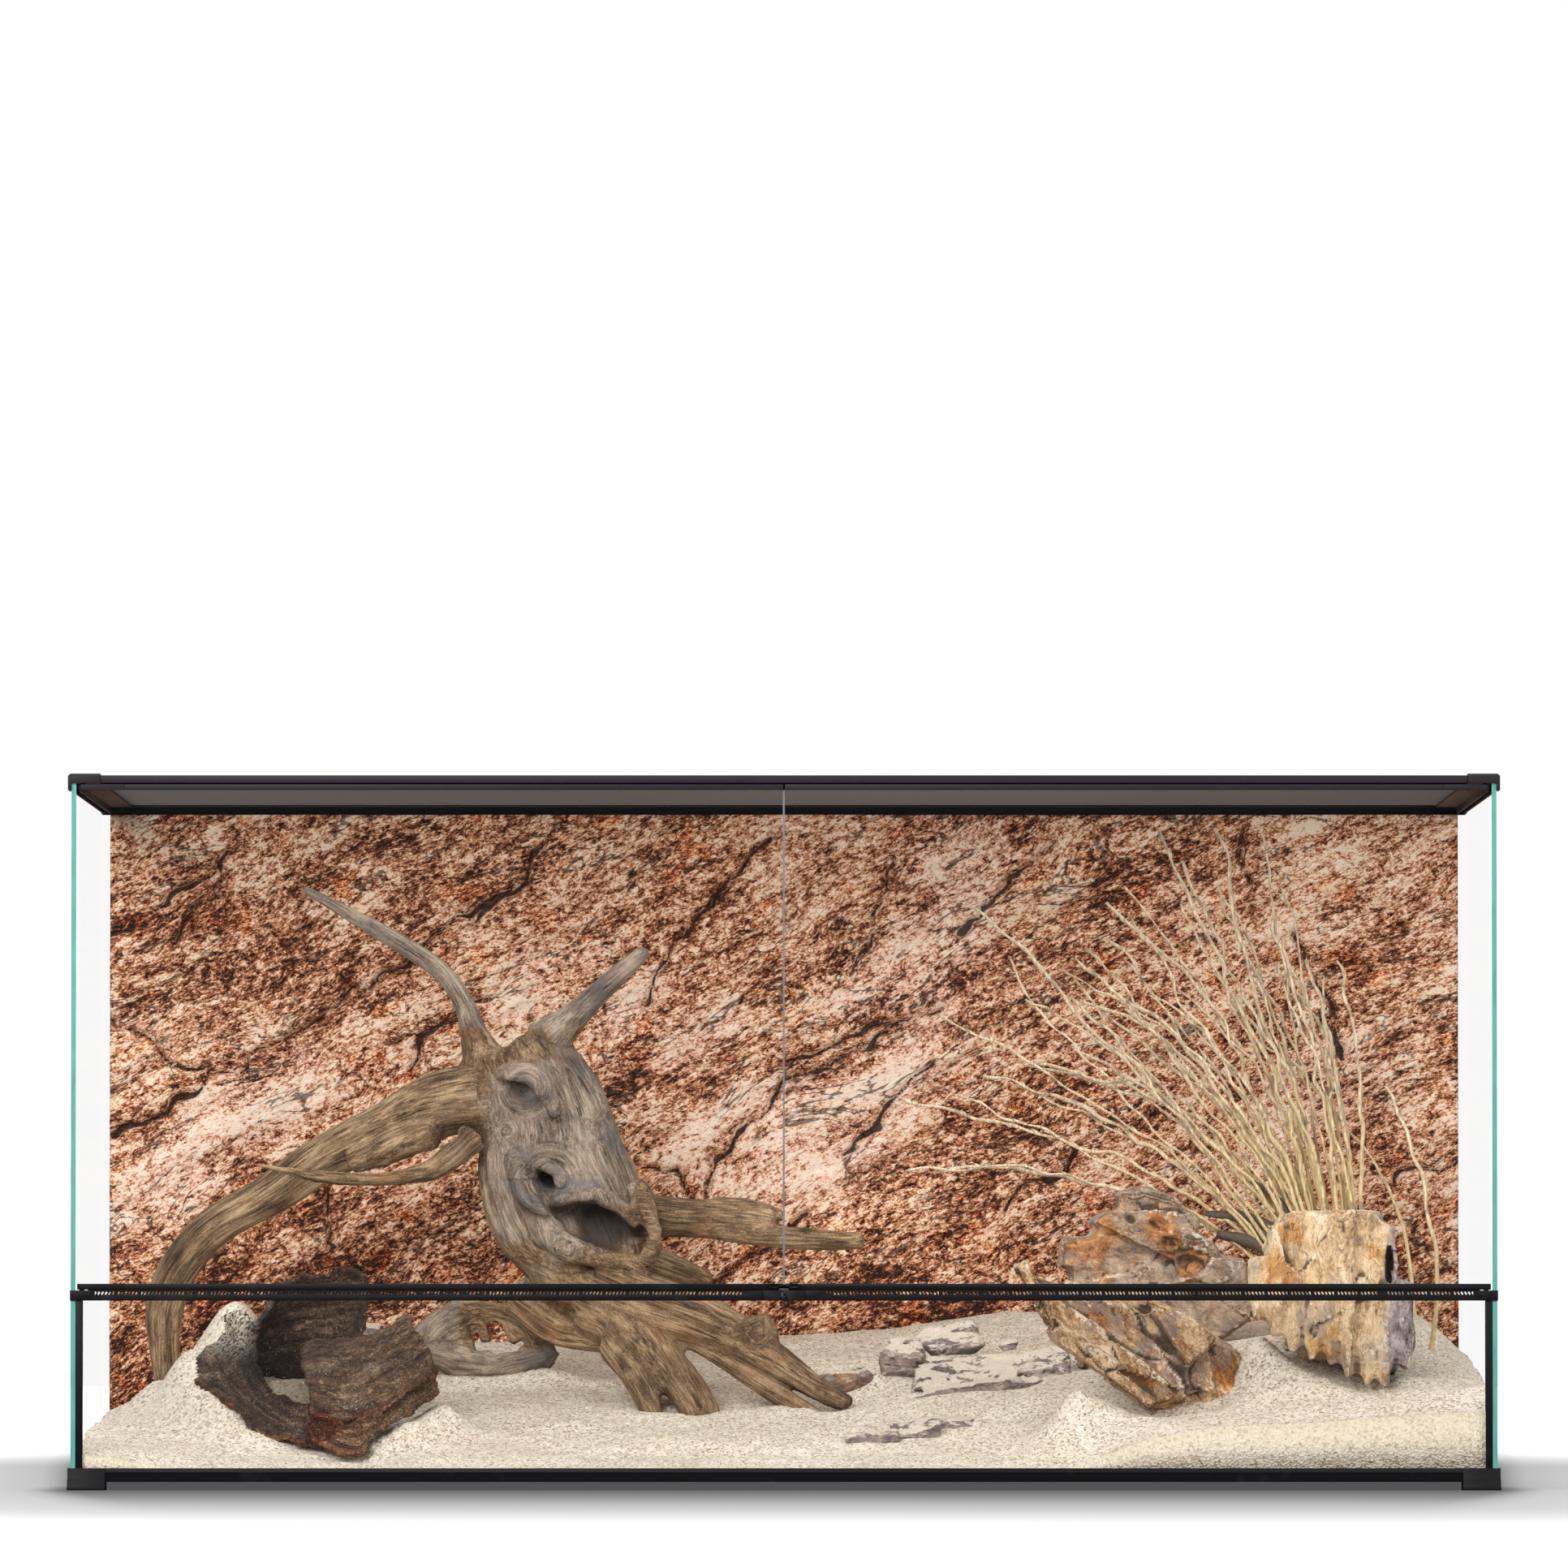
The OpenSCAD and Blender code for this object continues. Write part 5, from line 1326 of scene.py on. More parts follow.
# Sheets of the bark, each with its lower edge, its upper edge and how far it bows out
BARK_SHEETS = {
    "wall": (
        [(-494, 12, 118), (-504, -20, 110), (-505, -50, 100), (-498, -84, 88), (-487, -112, 80),
         (-472, -138, 68), (-458, -158, 58), (-440, -178, 48), (-419, -196, 40), (-396, -206, 38),
         (-378, -212, 36)],
        [(-484, 4, 144), (-466, -20, 148), (-450, -50, 140), (-451, -78, 120), (-446, -100, 103),
         (-436, -124, 88), (-427, -142, 78), (-414, -160, 72), (-400, -176, 69), (-386, -190, 64),
         (-374, -200, 58)],
        -8,
    ),
    "curl": (
        [(-450, -64, 96), (-446, -26, 90), (-424, -2, 90), (-398, 0, 94), (-378, -16, 100), (-374, -42, 108)],
        [(-446, -66, 140), (-434, -38, 162), (-418, -14, 180), (-396, -6, 184), (-372, -16, 187),
         (-360, -38, 176)],
        -9,
    ),
    "dish": (
        [(-398, -184, 66), (-386, -200, 59), (-366, -208, 54), (-346, -206, 60), (-330, -196, 71),
         (-312, -178, 84), (-295, -152, 101)],
        [(-411, -74, 113), (-396, -66, 123), (-378, -68, 126), (-362, -76, 127), (-344, -86, 133),
         (-330, -96, 139), (-318, -106, 145)],
        9,
    ),
    "skirt": (
        [(-404, -190, 52), (-392, -208, 40), (-376, -224, 28), (-355, -227, 26), (-346, -214, 44),
         (-328, -198, 56), (-309, -180, 65), (-293, -156, 78)],
        [(-400, -182, 68), (-386, -202, 61), (-366, -210, 56), (-346, -208, 62), (-330, -197, 72),
         (-312, -179, 86), (-302, -166, 94), (-294, -150, 102)],
        -4,
    ),
}


BARK_LIP = (-392, -206, 54)                 # where its torn lip shows red
BARK_HOLLOW = (-412, -64, 100)              # middle of the painted shade inside its curl


def cork_bark(material):
    """A curled piece of bark: an upright wall, a taller curl behind it, a dish and a lip."""
    parts = [bent_sheet(low, high, 7, bulge, 5, number * 11)
             for number, (low, high, bulge) in enumerate(BARK_SHEETS.values())]
    shells, sheets, outsides, places = zip(*parts)
    places = [place + (SHEET_APART * number, 0, 0) for number, place in enumerate(places)]
    sheets, outsides, places = (np.vstack(group) for group in (sheets, outsides, places))
    points, faces = fused(shells, 1.8)
    points = softened(points, faces, 2)
    nearest = np.concatenate([np.linalg.norm(rows[:, None] - sheets[None], axis=2).argmin(axis=1)
                              for rows in np.array_split(points, 1 + len(points) // 4000)])
    depth = ((points - sheets[nearest]) * outsides[nearest]).sum(axis=1)
    path = places[nearest] + (0, 0, 1) * depth[:, None]
    rise = 1.5 * ridges(path, (46, 8, 30), 7) + 0.9 * lumps(path, (22, 3.6, 30), 8)
    rise = rise + 0.9 * crags(points, (9, 9, 9), 9, 3)
    points = points + outward(points, faces) * rise[:, None]
    sheet = (places[nearest, 0] // SHEET_APART).astype(int)
    inside = np.choose(sheet, [ease(depth, -1.5, 2.0), 1.0, 0.7, 0.35])
    rim = (1 - ease(np.minimum(path[:, 1], SHEET_WIDTH - path[:, 1]), 1, 7)) * 0.6
    lip = 1 - ease(np.linalg.norm(points - BARK_LIP, axis=1), 14, 26)
    rim = np.maximum(rim, lip)
    left = 1 - ease(points[:, 0], -466, -446)
    top = left * ease(points[:, 2], 132, 146) + 0.55 * left * ease(points[:, 2], 104, 130)
    # Painted shade inside the curl of the bark, darkest at its middle
    away = np.linalg.norm((points - BARK_HOLLOW) / (1.0, 1.2, 0.9), axis=1)
    hollow = (1 - ease(away, 34, 84)) * np.choose(sheet, [ease(depth, -2, 1), 1.0, 0.5, 0.5])
    piece = make_piece("cork_bark_shell", points, faces, material, node="cork_bark", grain=path * MM,
                       inside=inside, rim=rim, dust=np.clip(top, 0, 1), hollow=hollow)


KNOT_ARC = [(-312, 108, 122, 12), (-292, 110, 140, 15), (-262, 112, 149, 9), (-232, 110, 142, 9),
            (-212, 106, 122, 10), (-202, 102, 106, 8)]
KNOT_BAR = [(-306, 104, 112, 13), (-280, 100, 104, 13), (-248, 100, 102, 11), (-212, 102, 110, 9)]


KNOT_LUMPS = [
    [(-308, 104, 116, 11), (-296, 106, 130, 13), (-282, 108, 128, 12), (-276, 104, 112, 10)],
    [(-264, 110, 140, 8), (-258, 108, 124, 4)], [(-238, 110, 138, 8), (-232, 106, 122, 5)],
    [(-222, 104, 108, 8), (-226, 104, 120, 4)], [(-206, 102, 112, 12), (-197, 100, 106, 8)],
]


def knotty_wood(material):
    """A knotty piece of wood with a ragged hole that shows what is behind it."""
    paths = [smooth_path(line, 6) for line in (KNOT_ARC, KNOT_BAR)]
    shells = [knobbly(path, 24, 6.0, 14, (14, 9, 9), 0.22, 40 + n) for n, path in enumerate(paths)]
    shells += [limb(line, 5) for line in KNOT_LUMPS]
    points, faces = fused(shells, 1.7)
    points = softened(points, faces, 1)
    near, after, blend = along_limbs(points, paths, [1.0, 1.0])
    rise = 2.6 * crags(points, (15, 15, 15), 3, 3) + 0.9 * ridges(near, (24, 5, 5), 4) - 0.6
    points = points + outward(points, faces) * rise[:, None]
    grey = np.maximum(1 - ease(points[:, 2], 108, 126), 1 - ease(points[:, 0], -290, -270))
    piece = make_piece("knotty_wood_piece", points, faces, material, node="knotty_wood", grain=near * MM,
                       grain_next=after * MM, blend=blend, hollow=np.zeros(len(points)), grey=grey)


def rock(name, node, shells, grain, rise, material, stains=(), cutters=(), rounds=2):
    """A stone: a skin round its shells, shaped by rise and stored with its ridges and creases."""
    points, faces = fused(shells, grain, cutters)
    points = softened(points, faces, rounds)
    points = points + outward(points, faces) * rise(points)[:, None]
    relaxed = softened(points, faces, 6)
    stand = ((points - relaxed) * outward(points, faces)).sum(axis=1) / grain
    stain = np.zeros(len(points))
    for x, y, z, size in stains:
        away = np.linalg.norm(points - (x, y, z), axis=1)
        stain = np.maximum(stain, 1 - ease(away, size * 0.1, size * 1.3))
    piece = make_piece(name, points, faces, material, node=node, stain=stain,
                       ridge=np.clip(0.5 + stand * 1.6, 0, 1), crease=np.clip(-stand * 2.2, 0, 1))


SLAB_FRONT = -212
SLAB_STEP = 11                              # each layer starts this far behind the last
SLAB_DEEP = 30
SLAB_LEAN = math.radians(-50)
SLAB_LAYERS = [
    [(208, 158), (224, 150), (300, 88), (324, 70), (312, 62), (262, 98), (226, 126)],
    [(198, 184), (212, 176), (318, 96), (338, 74), (322, 62), (222, 140)],
    [(206, 182), (250, 170), (346, 104), (354, 78), (330, 64), (230, 150)],
    [(236, 178), (280, 168), (366, 110), (370, 80), (340, 66), (250, 146)],
    [(262, 172), (300, 162), (384, 116), (390, 78), (356, 66), (270, 140)],
    [(290, 166), (330, 154), (398, 110), (400, 74), (370, 64), (300, 130)],
    [(194, 188), (204, 193), (216, 170), (208, 162)],
    [(300, 166), (342, 148), (368, 126), (340, 96)],
]
# Stained places: centre and size
SLAB_STAINS = [(300, -190, 92, 20), (376, -160, 96, 20), (262, -190, 140, 22), (206, -200, 178, 14)]


def leaned(points, angle):
    """Points in directions along and across layers that lean by an angle, seen from the front."""
    along, across = turned(points[:, 0], points[:, 2], angle)
    return np.stack([along, points[:, 1], across], axis=1)


def leaning_slab(material):
    """A layered slab that leans to the lower right, its layers stepped like shingles."""
    fronts = [SLAB_FRONT + SLAB_STEP * (number % 6) for number in range(len(SLAB_LAYERS))]
    shells = [block(outline, front, front + SLAB_DEEP, 0.9) for outline, front in zip(SLAB_LAYERS, fronts)]

    def rise(points):
        """Plates that lie along the slab's layers."""
        layer = leaned(points, SLAB_LEAN)
        plates = 5.0 * flakes(layer, (70, 40, 26), 5) + 1.2 * flakes(layer, (30, 22, 12), 6)
        return plates + 0.6 * crags(layer, (20, 12, 10), 7, 3) - 1.6
    rock("slab_rock", "leaning_slab_rock", shells, 2.0, rise, material, SLAB_STAINS)


BOULDER_LUMPS = [
    ([(240, 190), (275, 230), (302, 248), (344, 234), (384, 190), (386, 130), (250, 96)], 12, 56),
    ([(236, 186), (238, 212), (276, 214), (276, 184)], 8, 60),
    ([(262, 226), (276, 238), (330, 236), (352, 180)], 2, 64),
    ([(284, 252), (312, 256), (344, 226), (282, 214)], 10, 58),
    ([(312, 254), (336, 248), (364, 222), (330, 206)], 6, 66),
    ([(340, 224), (372, 208), (384, 176), (330, 160)], 0, 62),
    ([(352, 206), (398, 196), (404, 140), (350, 112)], 4, 56),
    ([(250, 170), (350, 180), (376, 90), (262, 88)], -2, 66),
]
BOULDER_LEAN = math.radians(-8)
# Hollows: centre and half sizes
BOULDER_HOLLOWS = [
    ((266, -4, 208), (24, 13, 9)), ((323, -2, 224), (15, 12, 7)), ((332, -4, 206), (14, 13, 8)),
    ((346, -4, 189), (13, 12, 7)), ((298, 0, 231), (5, 10, 9)), ((302, -4, 178), (12, 8, 5)),
]
# The four largest hollows are stained too
BOULDER_STAINS = [(x, y + 8, z, size[0] * 1.6) for (x, y, z), size in BOULDER_HOLLOWS[:4]]
BOULDER_STAINS += [(340, 16, 246, 18), (248, 10, 206, 14)]


def holes(hollows, seed=0):
    """Lumpy balls that cut hollows, each a centre and half sizes."""
    return [ball(centre, size, 0.3, seed + number) for number, (centre, size) in enumerate(hollows)]


def boulder(material):
    """A grey block with stained hollows under overhanging edges."""
    shells = [block(outline, front, back, 0.92) for outline, front, back in BOULDER_LUMPS]

    def rise(points):
        """Chunks that lie along the boulder's layers."""
        layer = leaned(points, BOULDER_LEAN)
        chunks = 4.6 * flakes(layer, (58, 44, 32), 15) + 0.9 * flakes(layer, (24, 20, 14), 16)
        return chunks + 0.5 * crags(points, (16, 16, 12), 17, 3) - 1.6
    rock("boulder", "rear_boulder", shells, 2.1, rise, material, BOULDER_STAINS,
         holes(BOULDER_HOLLOWS))


PILLAR_FRONT = -196
PILLAR_BACK = -62
PILLAR_RIBS = 9
PILLAR_LEFT = 402                           # x of its first rib
PILLAR_PITCH = 15.4
PILLAR_CORE = [(424, 236), (506, 236), (522, 200), (522, 116), (424, 130), (406, 204)]
PILLAR_TOPS = [(396, 180), (410, 216), (424, 232), (505, 232), (518, 208), (531, 150)]
PILLAR_FEET = [(400, 148), (421, 128), (443, 110), (464, 106), (480, 94), (500, 84), (515, 88), (531, 112)]
PILLAR_STAINS = [(420, -190, 180, 26), (452, -196, 122, 20), (430, -190, 216, 16), (500, -196, 200, 16)]
PILLAR_SLITS = [
    ((512, -188, 190), (3, 16, 24)), ((505, -192, 160), (2.5, 14, 16)), ((448, -202, 132), (6, 9, 9)),
    ((474, -204, 118), (5, 8, 10)), ((433, -204, 168), (3, 7, 8)),
]


def pillar(material):
    """A standing block with upright ribs, a flat top and a ragged foot."""
    shells = [block(PILLAR_CORE, PILLAR_FRONT + 16, PILLAR_BACK, 0.96)]
    for number in range(PILLAR_RIBS):
        x = PILLAR_LEFT + PILLAR_PITCH * number
        top = np.interp(x, *zip(*PILLAR_TOPS))
        foot = np.interp(x, *zip(*PILLAR_FEET))
        wave = 3 * math.sin(math.radians(number * 100))
        line = [(x, PILLAR_FRONT + 22 - wave, top + 2, 6.5), (x, PILLAR_FRONT + 14 - wave, top - 16, 9),
                (x - 1, PILLAR_FRONT + 12 - wave, 160, 10.5), (x - 2, PILLAR_FRONT + 10, foot + 16, 8),
                (x - 2, PILLAR_FRONT + 10, foot - 3, 4)]
        shells.append(tube(smooth_path(line, 6), 10, 1.5))
        shells.append(hull([(x + a, y, z) for a in (-9, 9) for y, z in (
            (PILLAR_FRONT + 14, top), (PILLAR_FRONT + 80, top), (PILLAR_FRONT + 14, foot + 14),
            (PILLAR_FRONT + 64, foot - 2))]))

    def rise(points):
        """Upright splinters."""
        splinters = 4.0 * flakes(points, (34, 36, 84), 25) + 0.8 * flakes(points, (14, 18, 34), 26)
        return splinters + 0.5 * crags(points, (12, 12, 22), 27, 3) - 1.8
    rock("pillar", "pillar_rock", shells, 2.2, rise, material, PILLAR_STAINS,
         holes(PILLAR_SLITS, 30))


# Loose stones: centre, half sizes, turn seen from the front and tilt to the front, in degrees
STONES = [
    ((54, 2, 88), (30, 18, 15), 4, 8), ((102, 6, 106), (22, 16, 23), -8, 20),
    ((143, 30, 124), (32, 26, 8), 6, 30), ((156, -16, 96), (52, 40, 8), 4, 28),
    ((160, -50, 80), (50, 13, 12), 7, 10), ((198, -34, 86), (26, 18, 6), 12, 20),
    ((224, -8, 106), (28, 26, 9), 8, 30), ((240, -26, 97), (10, 9, 5), 0, 20),
    ((194, 22, 121), (11, 9, 5), 10, 20), ((74, -178, 40), (28, 15, 10), 3, 12),
    ((112, -160, 47), (26, 20, 9), 8, 20), ((146, -142, 52), (22, 16, 8), -6, 24),
    ((178, -120, 57), (34, 28, 9), 2, 24), ((-366, 150, 120), (22, 20, 26), 0, 0),
]


def split_stone(centre, size, turn, tilt, seed):
    """A flat angular stone as the shell of a few corners."""
    rng = np.random.default_rng(seed)
    corners = np.array(list(itertools.product((-1, 1), repeat=3)), float) * rng.uniform(0.5, 0.88, (8, 3))
    girdle = [(math.cos(a) * r, math.sin(a) * r, rng.uniform(-0.7, 0.5))
              for a, r in zip(rng.uniform(0, FULL_TURN, 8), rng.uniform(0.8, 1.15, 8))]
    corners = np.vstack([corners, girdle]) * np.array(size)
    turn, tilt = math.radians(turn), math.radians(tilt)
    lean = np.array([[1, 0, 0], [0, math.cos(tilt), math.sin(tilt)], [0, -math.sin(tilt), math.cos(tilt)]])
    spin = np.array([[math.cos(turn), 0, math.sin(turn)], [0, 1, 0], [-math.sin(turn), 0, math.cos(turn)]])
    return hull(corners @ lean @ spin + centre)


def loose_stones(material):
    """Flat stones that lie half sunk in the sand."""
    shells = [split_stone(*stone, number) for number, stone in enumerate(STONES)]

    def rise(points):
        """Thin level flakes."""
        return 2.0 * flakes(points, (30, 26, 7), 35) + 0.5 * crags(points, (12, 12, 6), 36, 3) - 0.8
    rock("stones", "loose_stones", shells, 1.8, rise, material, [(56, -6, 90, 26)], rounds=1)


# Dry stems, each from its root through two bends to its tip
STEMS = [
    [(470, 96, 130), (470, 92, 250), (410, 80, 400), (330, 70, 560)],
    [(476, 100, 130), (478, 96, 250), (430, 88, 400), (372, 80, 566)],
    [(482, 104, 130), (480, 98, 260), (440, 92, 420), (402, 88, 568)],
    [(488, 100, 130), (492, 96, 260), (466, 92, 400), (426, 90, 530)],
    [(494, 104, 130), (498, 98, 250), (476, 92, 350), (456, 90, 452)],
    [(500, 98, 130), (506, 92, 240), (498, 86, 340), (466, 80, 450)],
    [(466, 92, 130), (462, 84, 240), (390, 70, 360), (300, 60, 480)],
    [(462, 96, 130), (456, 86, 230), (370, 66, 350), (260, 50, 460)],
    [(458, 92, 130), (448, 80, 220), (350, 50, 320), (210, 30, 430)],
    [(454, 90, 130), (440, 78, 220), (330, 50, 330), (170, 24, 486)],
    [(452, 94, 130), (436, 84, 220), (310, 60, 320), (140, 40, 408)],
    [(450, 90, 130), (430, 84, 216), (300, 80, 300), (104, 84, 346)],
    [(446, 88, 130), (424, 86, 220), (330, 90, 272), (110, 100, 262)],
    [(470, 104, 130), (464, 106, 260), (420, 108, 420), (340, 110, 540)],
    [(474, 108, 130), (470, 110, 260), (410, 116, 380), (290, 120, 500)],
    [(480, 110, 130), (474, 112, 250), (400, 120, 360), (240, 126, 450)],
    [(486, 112, 130), (482, 116, 250), (440, 124, 390), (380, 130, 520)],
    [(492, 110, 130), (496, 112, 250), (480, 118, 360), (440, 120, 480)],
    [(478, 92, 130), (474, 84, 260), (440, 70, 360), (390, 58, 430)],
    [(466, 100, 130), (454, 98, 240), (396, 98, 330), (330, 96, 400)],
    [(548, 150, 146), (546, 140, 230), (520, 120, 300), (420, 100, 376)],
    [(556, 60, 110), (574, 40, 190), (556, 50, 280), (512, 60, 336)],
]


# Dark strands behind the stones, each a line of x, y, z and radius
DARK_STRANDS = [
    [(448, 90, 190, 4), (418, 86, 222, 5), (386, 82, 238, 2)],
    [(440, 84, 190, 5), (402, 80, 210, 6), (374, 78, 216, 4)],
    [(452, 92, 200, 3), (426, 88, 246, 4), (404, 84, 262, 2)],
    [(430, 88, 196, 4), (396, 84, 228, 4), (364, 80, 234, 2)],
]
STEM_STEP = 5.0                             # from point to point along a stem
RIGHT_STEMS = 20                            # the stems of the main tuft come first in the list
STEM_SPREAD = np.array([(4, 5, 2), (8, 8, 8), (14, 12, 16), (24, 16, 22)])
STEM_REACH = ((-560, -60, 100), (575, 200, 572))


def stem(knots, radius, seed):
    """A dry stem: smooth at first, then knobbly, bent from side to side and set with short husks."""
    knots = np.array(knots, float)
    length = np.linalg.norm(np.diff(knots, axis=0), axis=1).sum()
    t = np.linspace(0, 1, int(length / STEM_STEP))[:, None]
    line = ((1 - t) ** 3 * knots[0] + 3 * (1 - t) ** 2 * t * knots[1] + 3 * (1 - t) * t ** 2 * knots[2]
            + t ** 3 * knots[3])
    run = np.arange(len(t)) * STEM_STEP
    lively = ease(t[:, 0], 0.2, 0.6)

    def waves(size, start):
        """Sideways bends of a size along the stem."""
        return np.stack([lumps(np.stack([run / size, 0 * run, 0 * run + seed], -1), 1, start + k)
                         for k in range(3)], axis=1)
    line = line + waves(110, seed) * 21.0 * t * (1 - 0.3 * t) + waves(19, seed + 9) * (4.6 * lively)[:, None]
    knobs = 1 + 0.5 * lively * lumps(np.stack([run / 7, 0 * run, 0 * run], -1), 1, seed + 20)
    thick = radius * (1.15 - 0.45 * t[:, 0]) * np.clip(knobs, 0.6, 1.5)
    shells = [tube(np.column_stack([line, thick]), 6)]
    far = [np.repeat(t[:, 0], 6)]
    rng = np.random.default_rng(seed)
    for spot in range(int(len(t) * 0.35), len(t) - 2, 3):
        along = line[spot + 1] - line[spot]
        aside = np.cross(along, rng.normal(0, 1, 3))
        aside = aside / max(np.linalg.norm(aside), 1e-6)
        tip = along / STEM_STEP * rng.uniform(4, 8) + aside * rng.uniform(1.2, 3.2)
        husk = np.column_stack([line[spot] + np.array((0, 0.5, 1))[:, None] * tip,
                                radius * np.array((0.5, 0.75, 0.15))])
        shells.append(tube(husk, 4))
        far.append(np.full(12, t[spot, 0]))
    return shells, np.concatenate(far)


def dry_grass(settings, material):
    """A tuft of long dry stems that fan out to the left, as many as the settings say."""
    rng = np.random.default_rng(settings.seed)
    shells, reach = [], []
    for number in range(settings.stem_count):
        knots = STEMS[number % len(STEMS)]
        if number >= len(STEMS):
            second = STEMS[rng.integers(0, RIGHT_STEMS)]
            first = STEMS[rng.integers(0, RIGHT_STEMS)]
            share = rng.uniform(0.2, 0.8)
            mixed = np.array(first) * share + np.array(second) * (1 - share)
            knots = mixed + rng.normal(0, 1, (4, 3)) * STEM_SPREAD
            knots[3] = knots[2] + (knots[3] - knots[2]) * rng.uniform(0.55, 1.0)
            knots = np.clip(knots, *STEM_REACH)
        radius = rng.uniform(0.8, 1.35) * settings.stem_radius / MM
        parts, far = stem(knots, radius, int(rng.integers(1, 9999)))
        shells += parts
        reach.append(far)
    for number, line in enumerate(DARK_STRANDS):
        shells.append(knobbly(smooth_path(line, 5), 8, 5.0, 6, (14, 5, 5), 0.35, 300 + number))
        reach.append(np.full(len(shells[-1][0]), 2.0))
    points, faces = joined(shells)
    piece = make_piece("dry_stems", points, faces, material, node="dry_grass", reach=np.concatenate(reach))


# ---------- settings ----------

class TerrariumCaseSettings(bpy.types.PropertyGroup):
    """Sizes and colours of the case."""

    plastic_colour: FloatVectorProperty(
        name="Plastic", description="Colour of the frame's plastic", subtype="COLOR", size=3, min=0, max=1,
        default=shade(34, 30, 35)[:3])
    edge_colour: FloatVectorProperty(
        name="Glass edge", description="Colour of the cut edges of the panes", subtype="COLOR", size=3, min=0,
        max=1, default=shade(72, 142, 130)[:3])
    edge_radius: FloatProperty(
        name="Edge radius", description="Rounding of the plastic's edges", subtype="DISTANCE", unit="LENGTH",
        default=0.0004, min=0.0001, max=0.002)
    mesh_pitch: FloatProperty(
        name="Mesh pitch", description="Distance between the wires of the lid", subtype="DISTANCE",
        unit="LENGTH", default=0.0026, min=0.001, max=0.01)
    wire_radius: FloatProperty(
        name="Wire radius", description="Half the thickness of a wire of the lid", subtype="DISTANCE",
        unit="LENGTH", default=0.00018, min=0.0001, max=0.001)
    wire_colour: FloatVectorProperty(
        name="Wire", description="Colour of the lid's wires", subtype="COLOR", size=3, min=0, max=1,
        default=shade(128, 126, 128)[:3])


class TerrariumLandSettings(bpy.types.PropertyGroup):
    """Sizes and colours of the landscape."""

    dry_sand: FloatVectorProperty(
        name="Dry sand", description="Colour of the sand on top", subtype="COLOR", size=3, min=0, max=1,
        default=shade(218, 210, 196)[:3])
    damp_sand: FloatVectorProperty(
        name="Damp sand", description="Colour of the sand against the glass", subtype="COLOR", size=3, min=0,
        max=1, default=shade(214, 202, 178)[:3])
    grain_density: FloatProperty(
        name="Grain density", description="Coarse grains on each square metre of sand", default=5200.0,
        min=0.0, max=12000.0)
    grain_size: FloatProperty(
        name="Grain size", description="Half the size of a coarse grain", subtype="DISTANCE", unit="LENGTH",
        default=0.0009, min=0.0003, max=0.004)
    stem_count: IntProperty(
        name="Stems", description="Number of stems in the tuft of dry grass", default=52, min=22, max=140)
    stem_radius: FloatProperty(
        name="Stem radius", description="Half the thickness of a stem near its root", subtype="DISTANCE",
        unit="LENGTH", default=0.0015, min=0.0004, max=0.004)
    seed: IntProperty(
        name="Seed", description="Changes how the stems and grains fall", default=4, min=0, max=999)


# ---------- operators ----------

class TERRARIUM_OT_glass(bpy.types.Operator):
    """Gives the panes their clear glass"""

    bl_idname = "terrarium.glass"
    bl_label = "Panes"

    def execute(self, context):
        edge = (*context.scene.terrarium_case.edge_colour, 1.0)
        across = pane_glass("side_pane_glass", "X", edge)
        facing = pane_glass("front_pane_glass", "Y", edge)
        level = pane_glass("floor_pane_glass", "Z", edge)
        for node in nodes_in("clear_glass"):
            size = np.ptp(box_mm(node), axis=0)
            paint_node(node, (across, facing, level)[int(size.argmin())])
        return {"FINISHED"}


class TERRARIUM_OT_frame(bpy.types.Operator):
    """Makes the plastic frame, its fittings and the soft strips"""

    bl_idname = "terrarium.frame"
    bl_label = "Frame and fittings"

    def execute(self, context):
        case = context.scene.terrarium_case
        tone = (*case.plastic_colour, 1.0)
        lengthways = black_plastic("black_plastic_long", tone, (0.02, 1, 1))
        depthways = black_plastic("black_plastic_deep", tone, (1, 0.02, 1))
        upright = black_plastic("black_plastic_upright", tone, (1, 1, 0.02))
        moulded = black_plastic("black_plastic_moulded", tone, (1, 1, 1), 0.4)
        for node in nodes_in("black_plastic"):
            size = np.ptp(box_mm(node), axis=0)
            drawn = (lengthways, depthways, upright)[int(size.argmax())]
            finish = drawn if size.max() > 5 * np.median(size) else moulded
            rounded_copy(node, finish, case.edge_radius / MM)
        metal = plated_metal("satin_nickel")
        for node in nodes_in("bright_metal"):
            rounded_copy(node, metal, 0.2)
        door_sill(lengthways)
        sealant = black_sealant("black_silicone")
        for node in nodes_in("black_silicone"):
            paint_node(node, sealant)
        strip = clear_strip("clear_seal_strip")
        for node in nodes_in("clear_seal"):
            paint_node(node, strip)
        return {"FINISHED"}


class TERRARIUM_OT_mesh(bpy.types.Operator):
    """Makes the wire mesh of the lid"""

    bl_idname = "terrarium.mesh"
    bl_label = "Mesh lid"

    def execute(self, context):
        case = context.scene.terrarium_case
        wire_mesh(case, dark_wire("lid_wire", (*case.wire_colour, 1.0)))
        return {"FINISHED"}


class TERRARIUM_OT_relief(bpy.types.Operator):
    """Makes the rock relief on the back wall"""

    bl_idname = "terrarium.relief"
    bl_label = "Rock relief"

    def execute(self, context):
        rock_relief(strata_rock("strata_rock"))
        return {"FINISHED"}


class TERRARIUM_OT_sand(bpy.types.Operator):
    """Makes the sand"""

    bl_idname = "terrarium.sand"
    bl_label = "Sand"

    def execute(self, context):
        land = context.scene.terrarium_land
        finish = loose_sand("loose_sand", (*land.dry_sand, 1.0), (*land.damp_sand, 1.0))
        sand = sand_bed(finish)
        loose_grains(land, sand, coarse_grains("coarse_grains"))
        return {"FINISHED"}


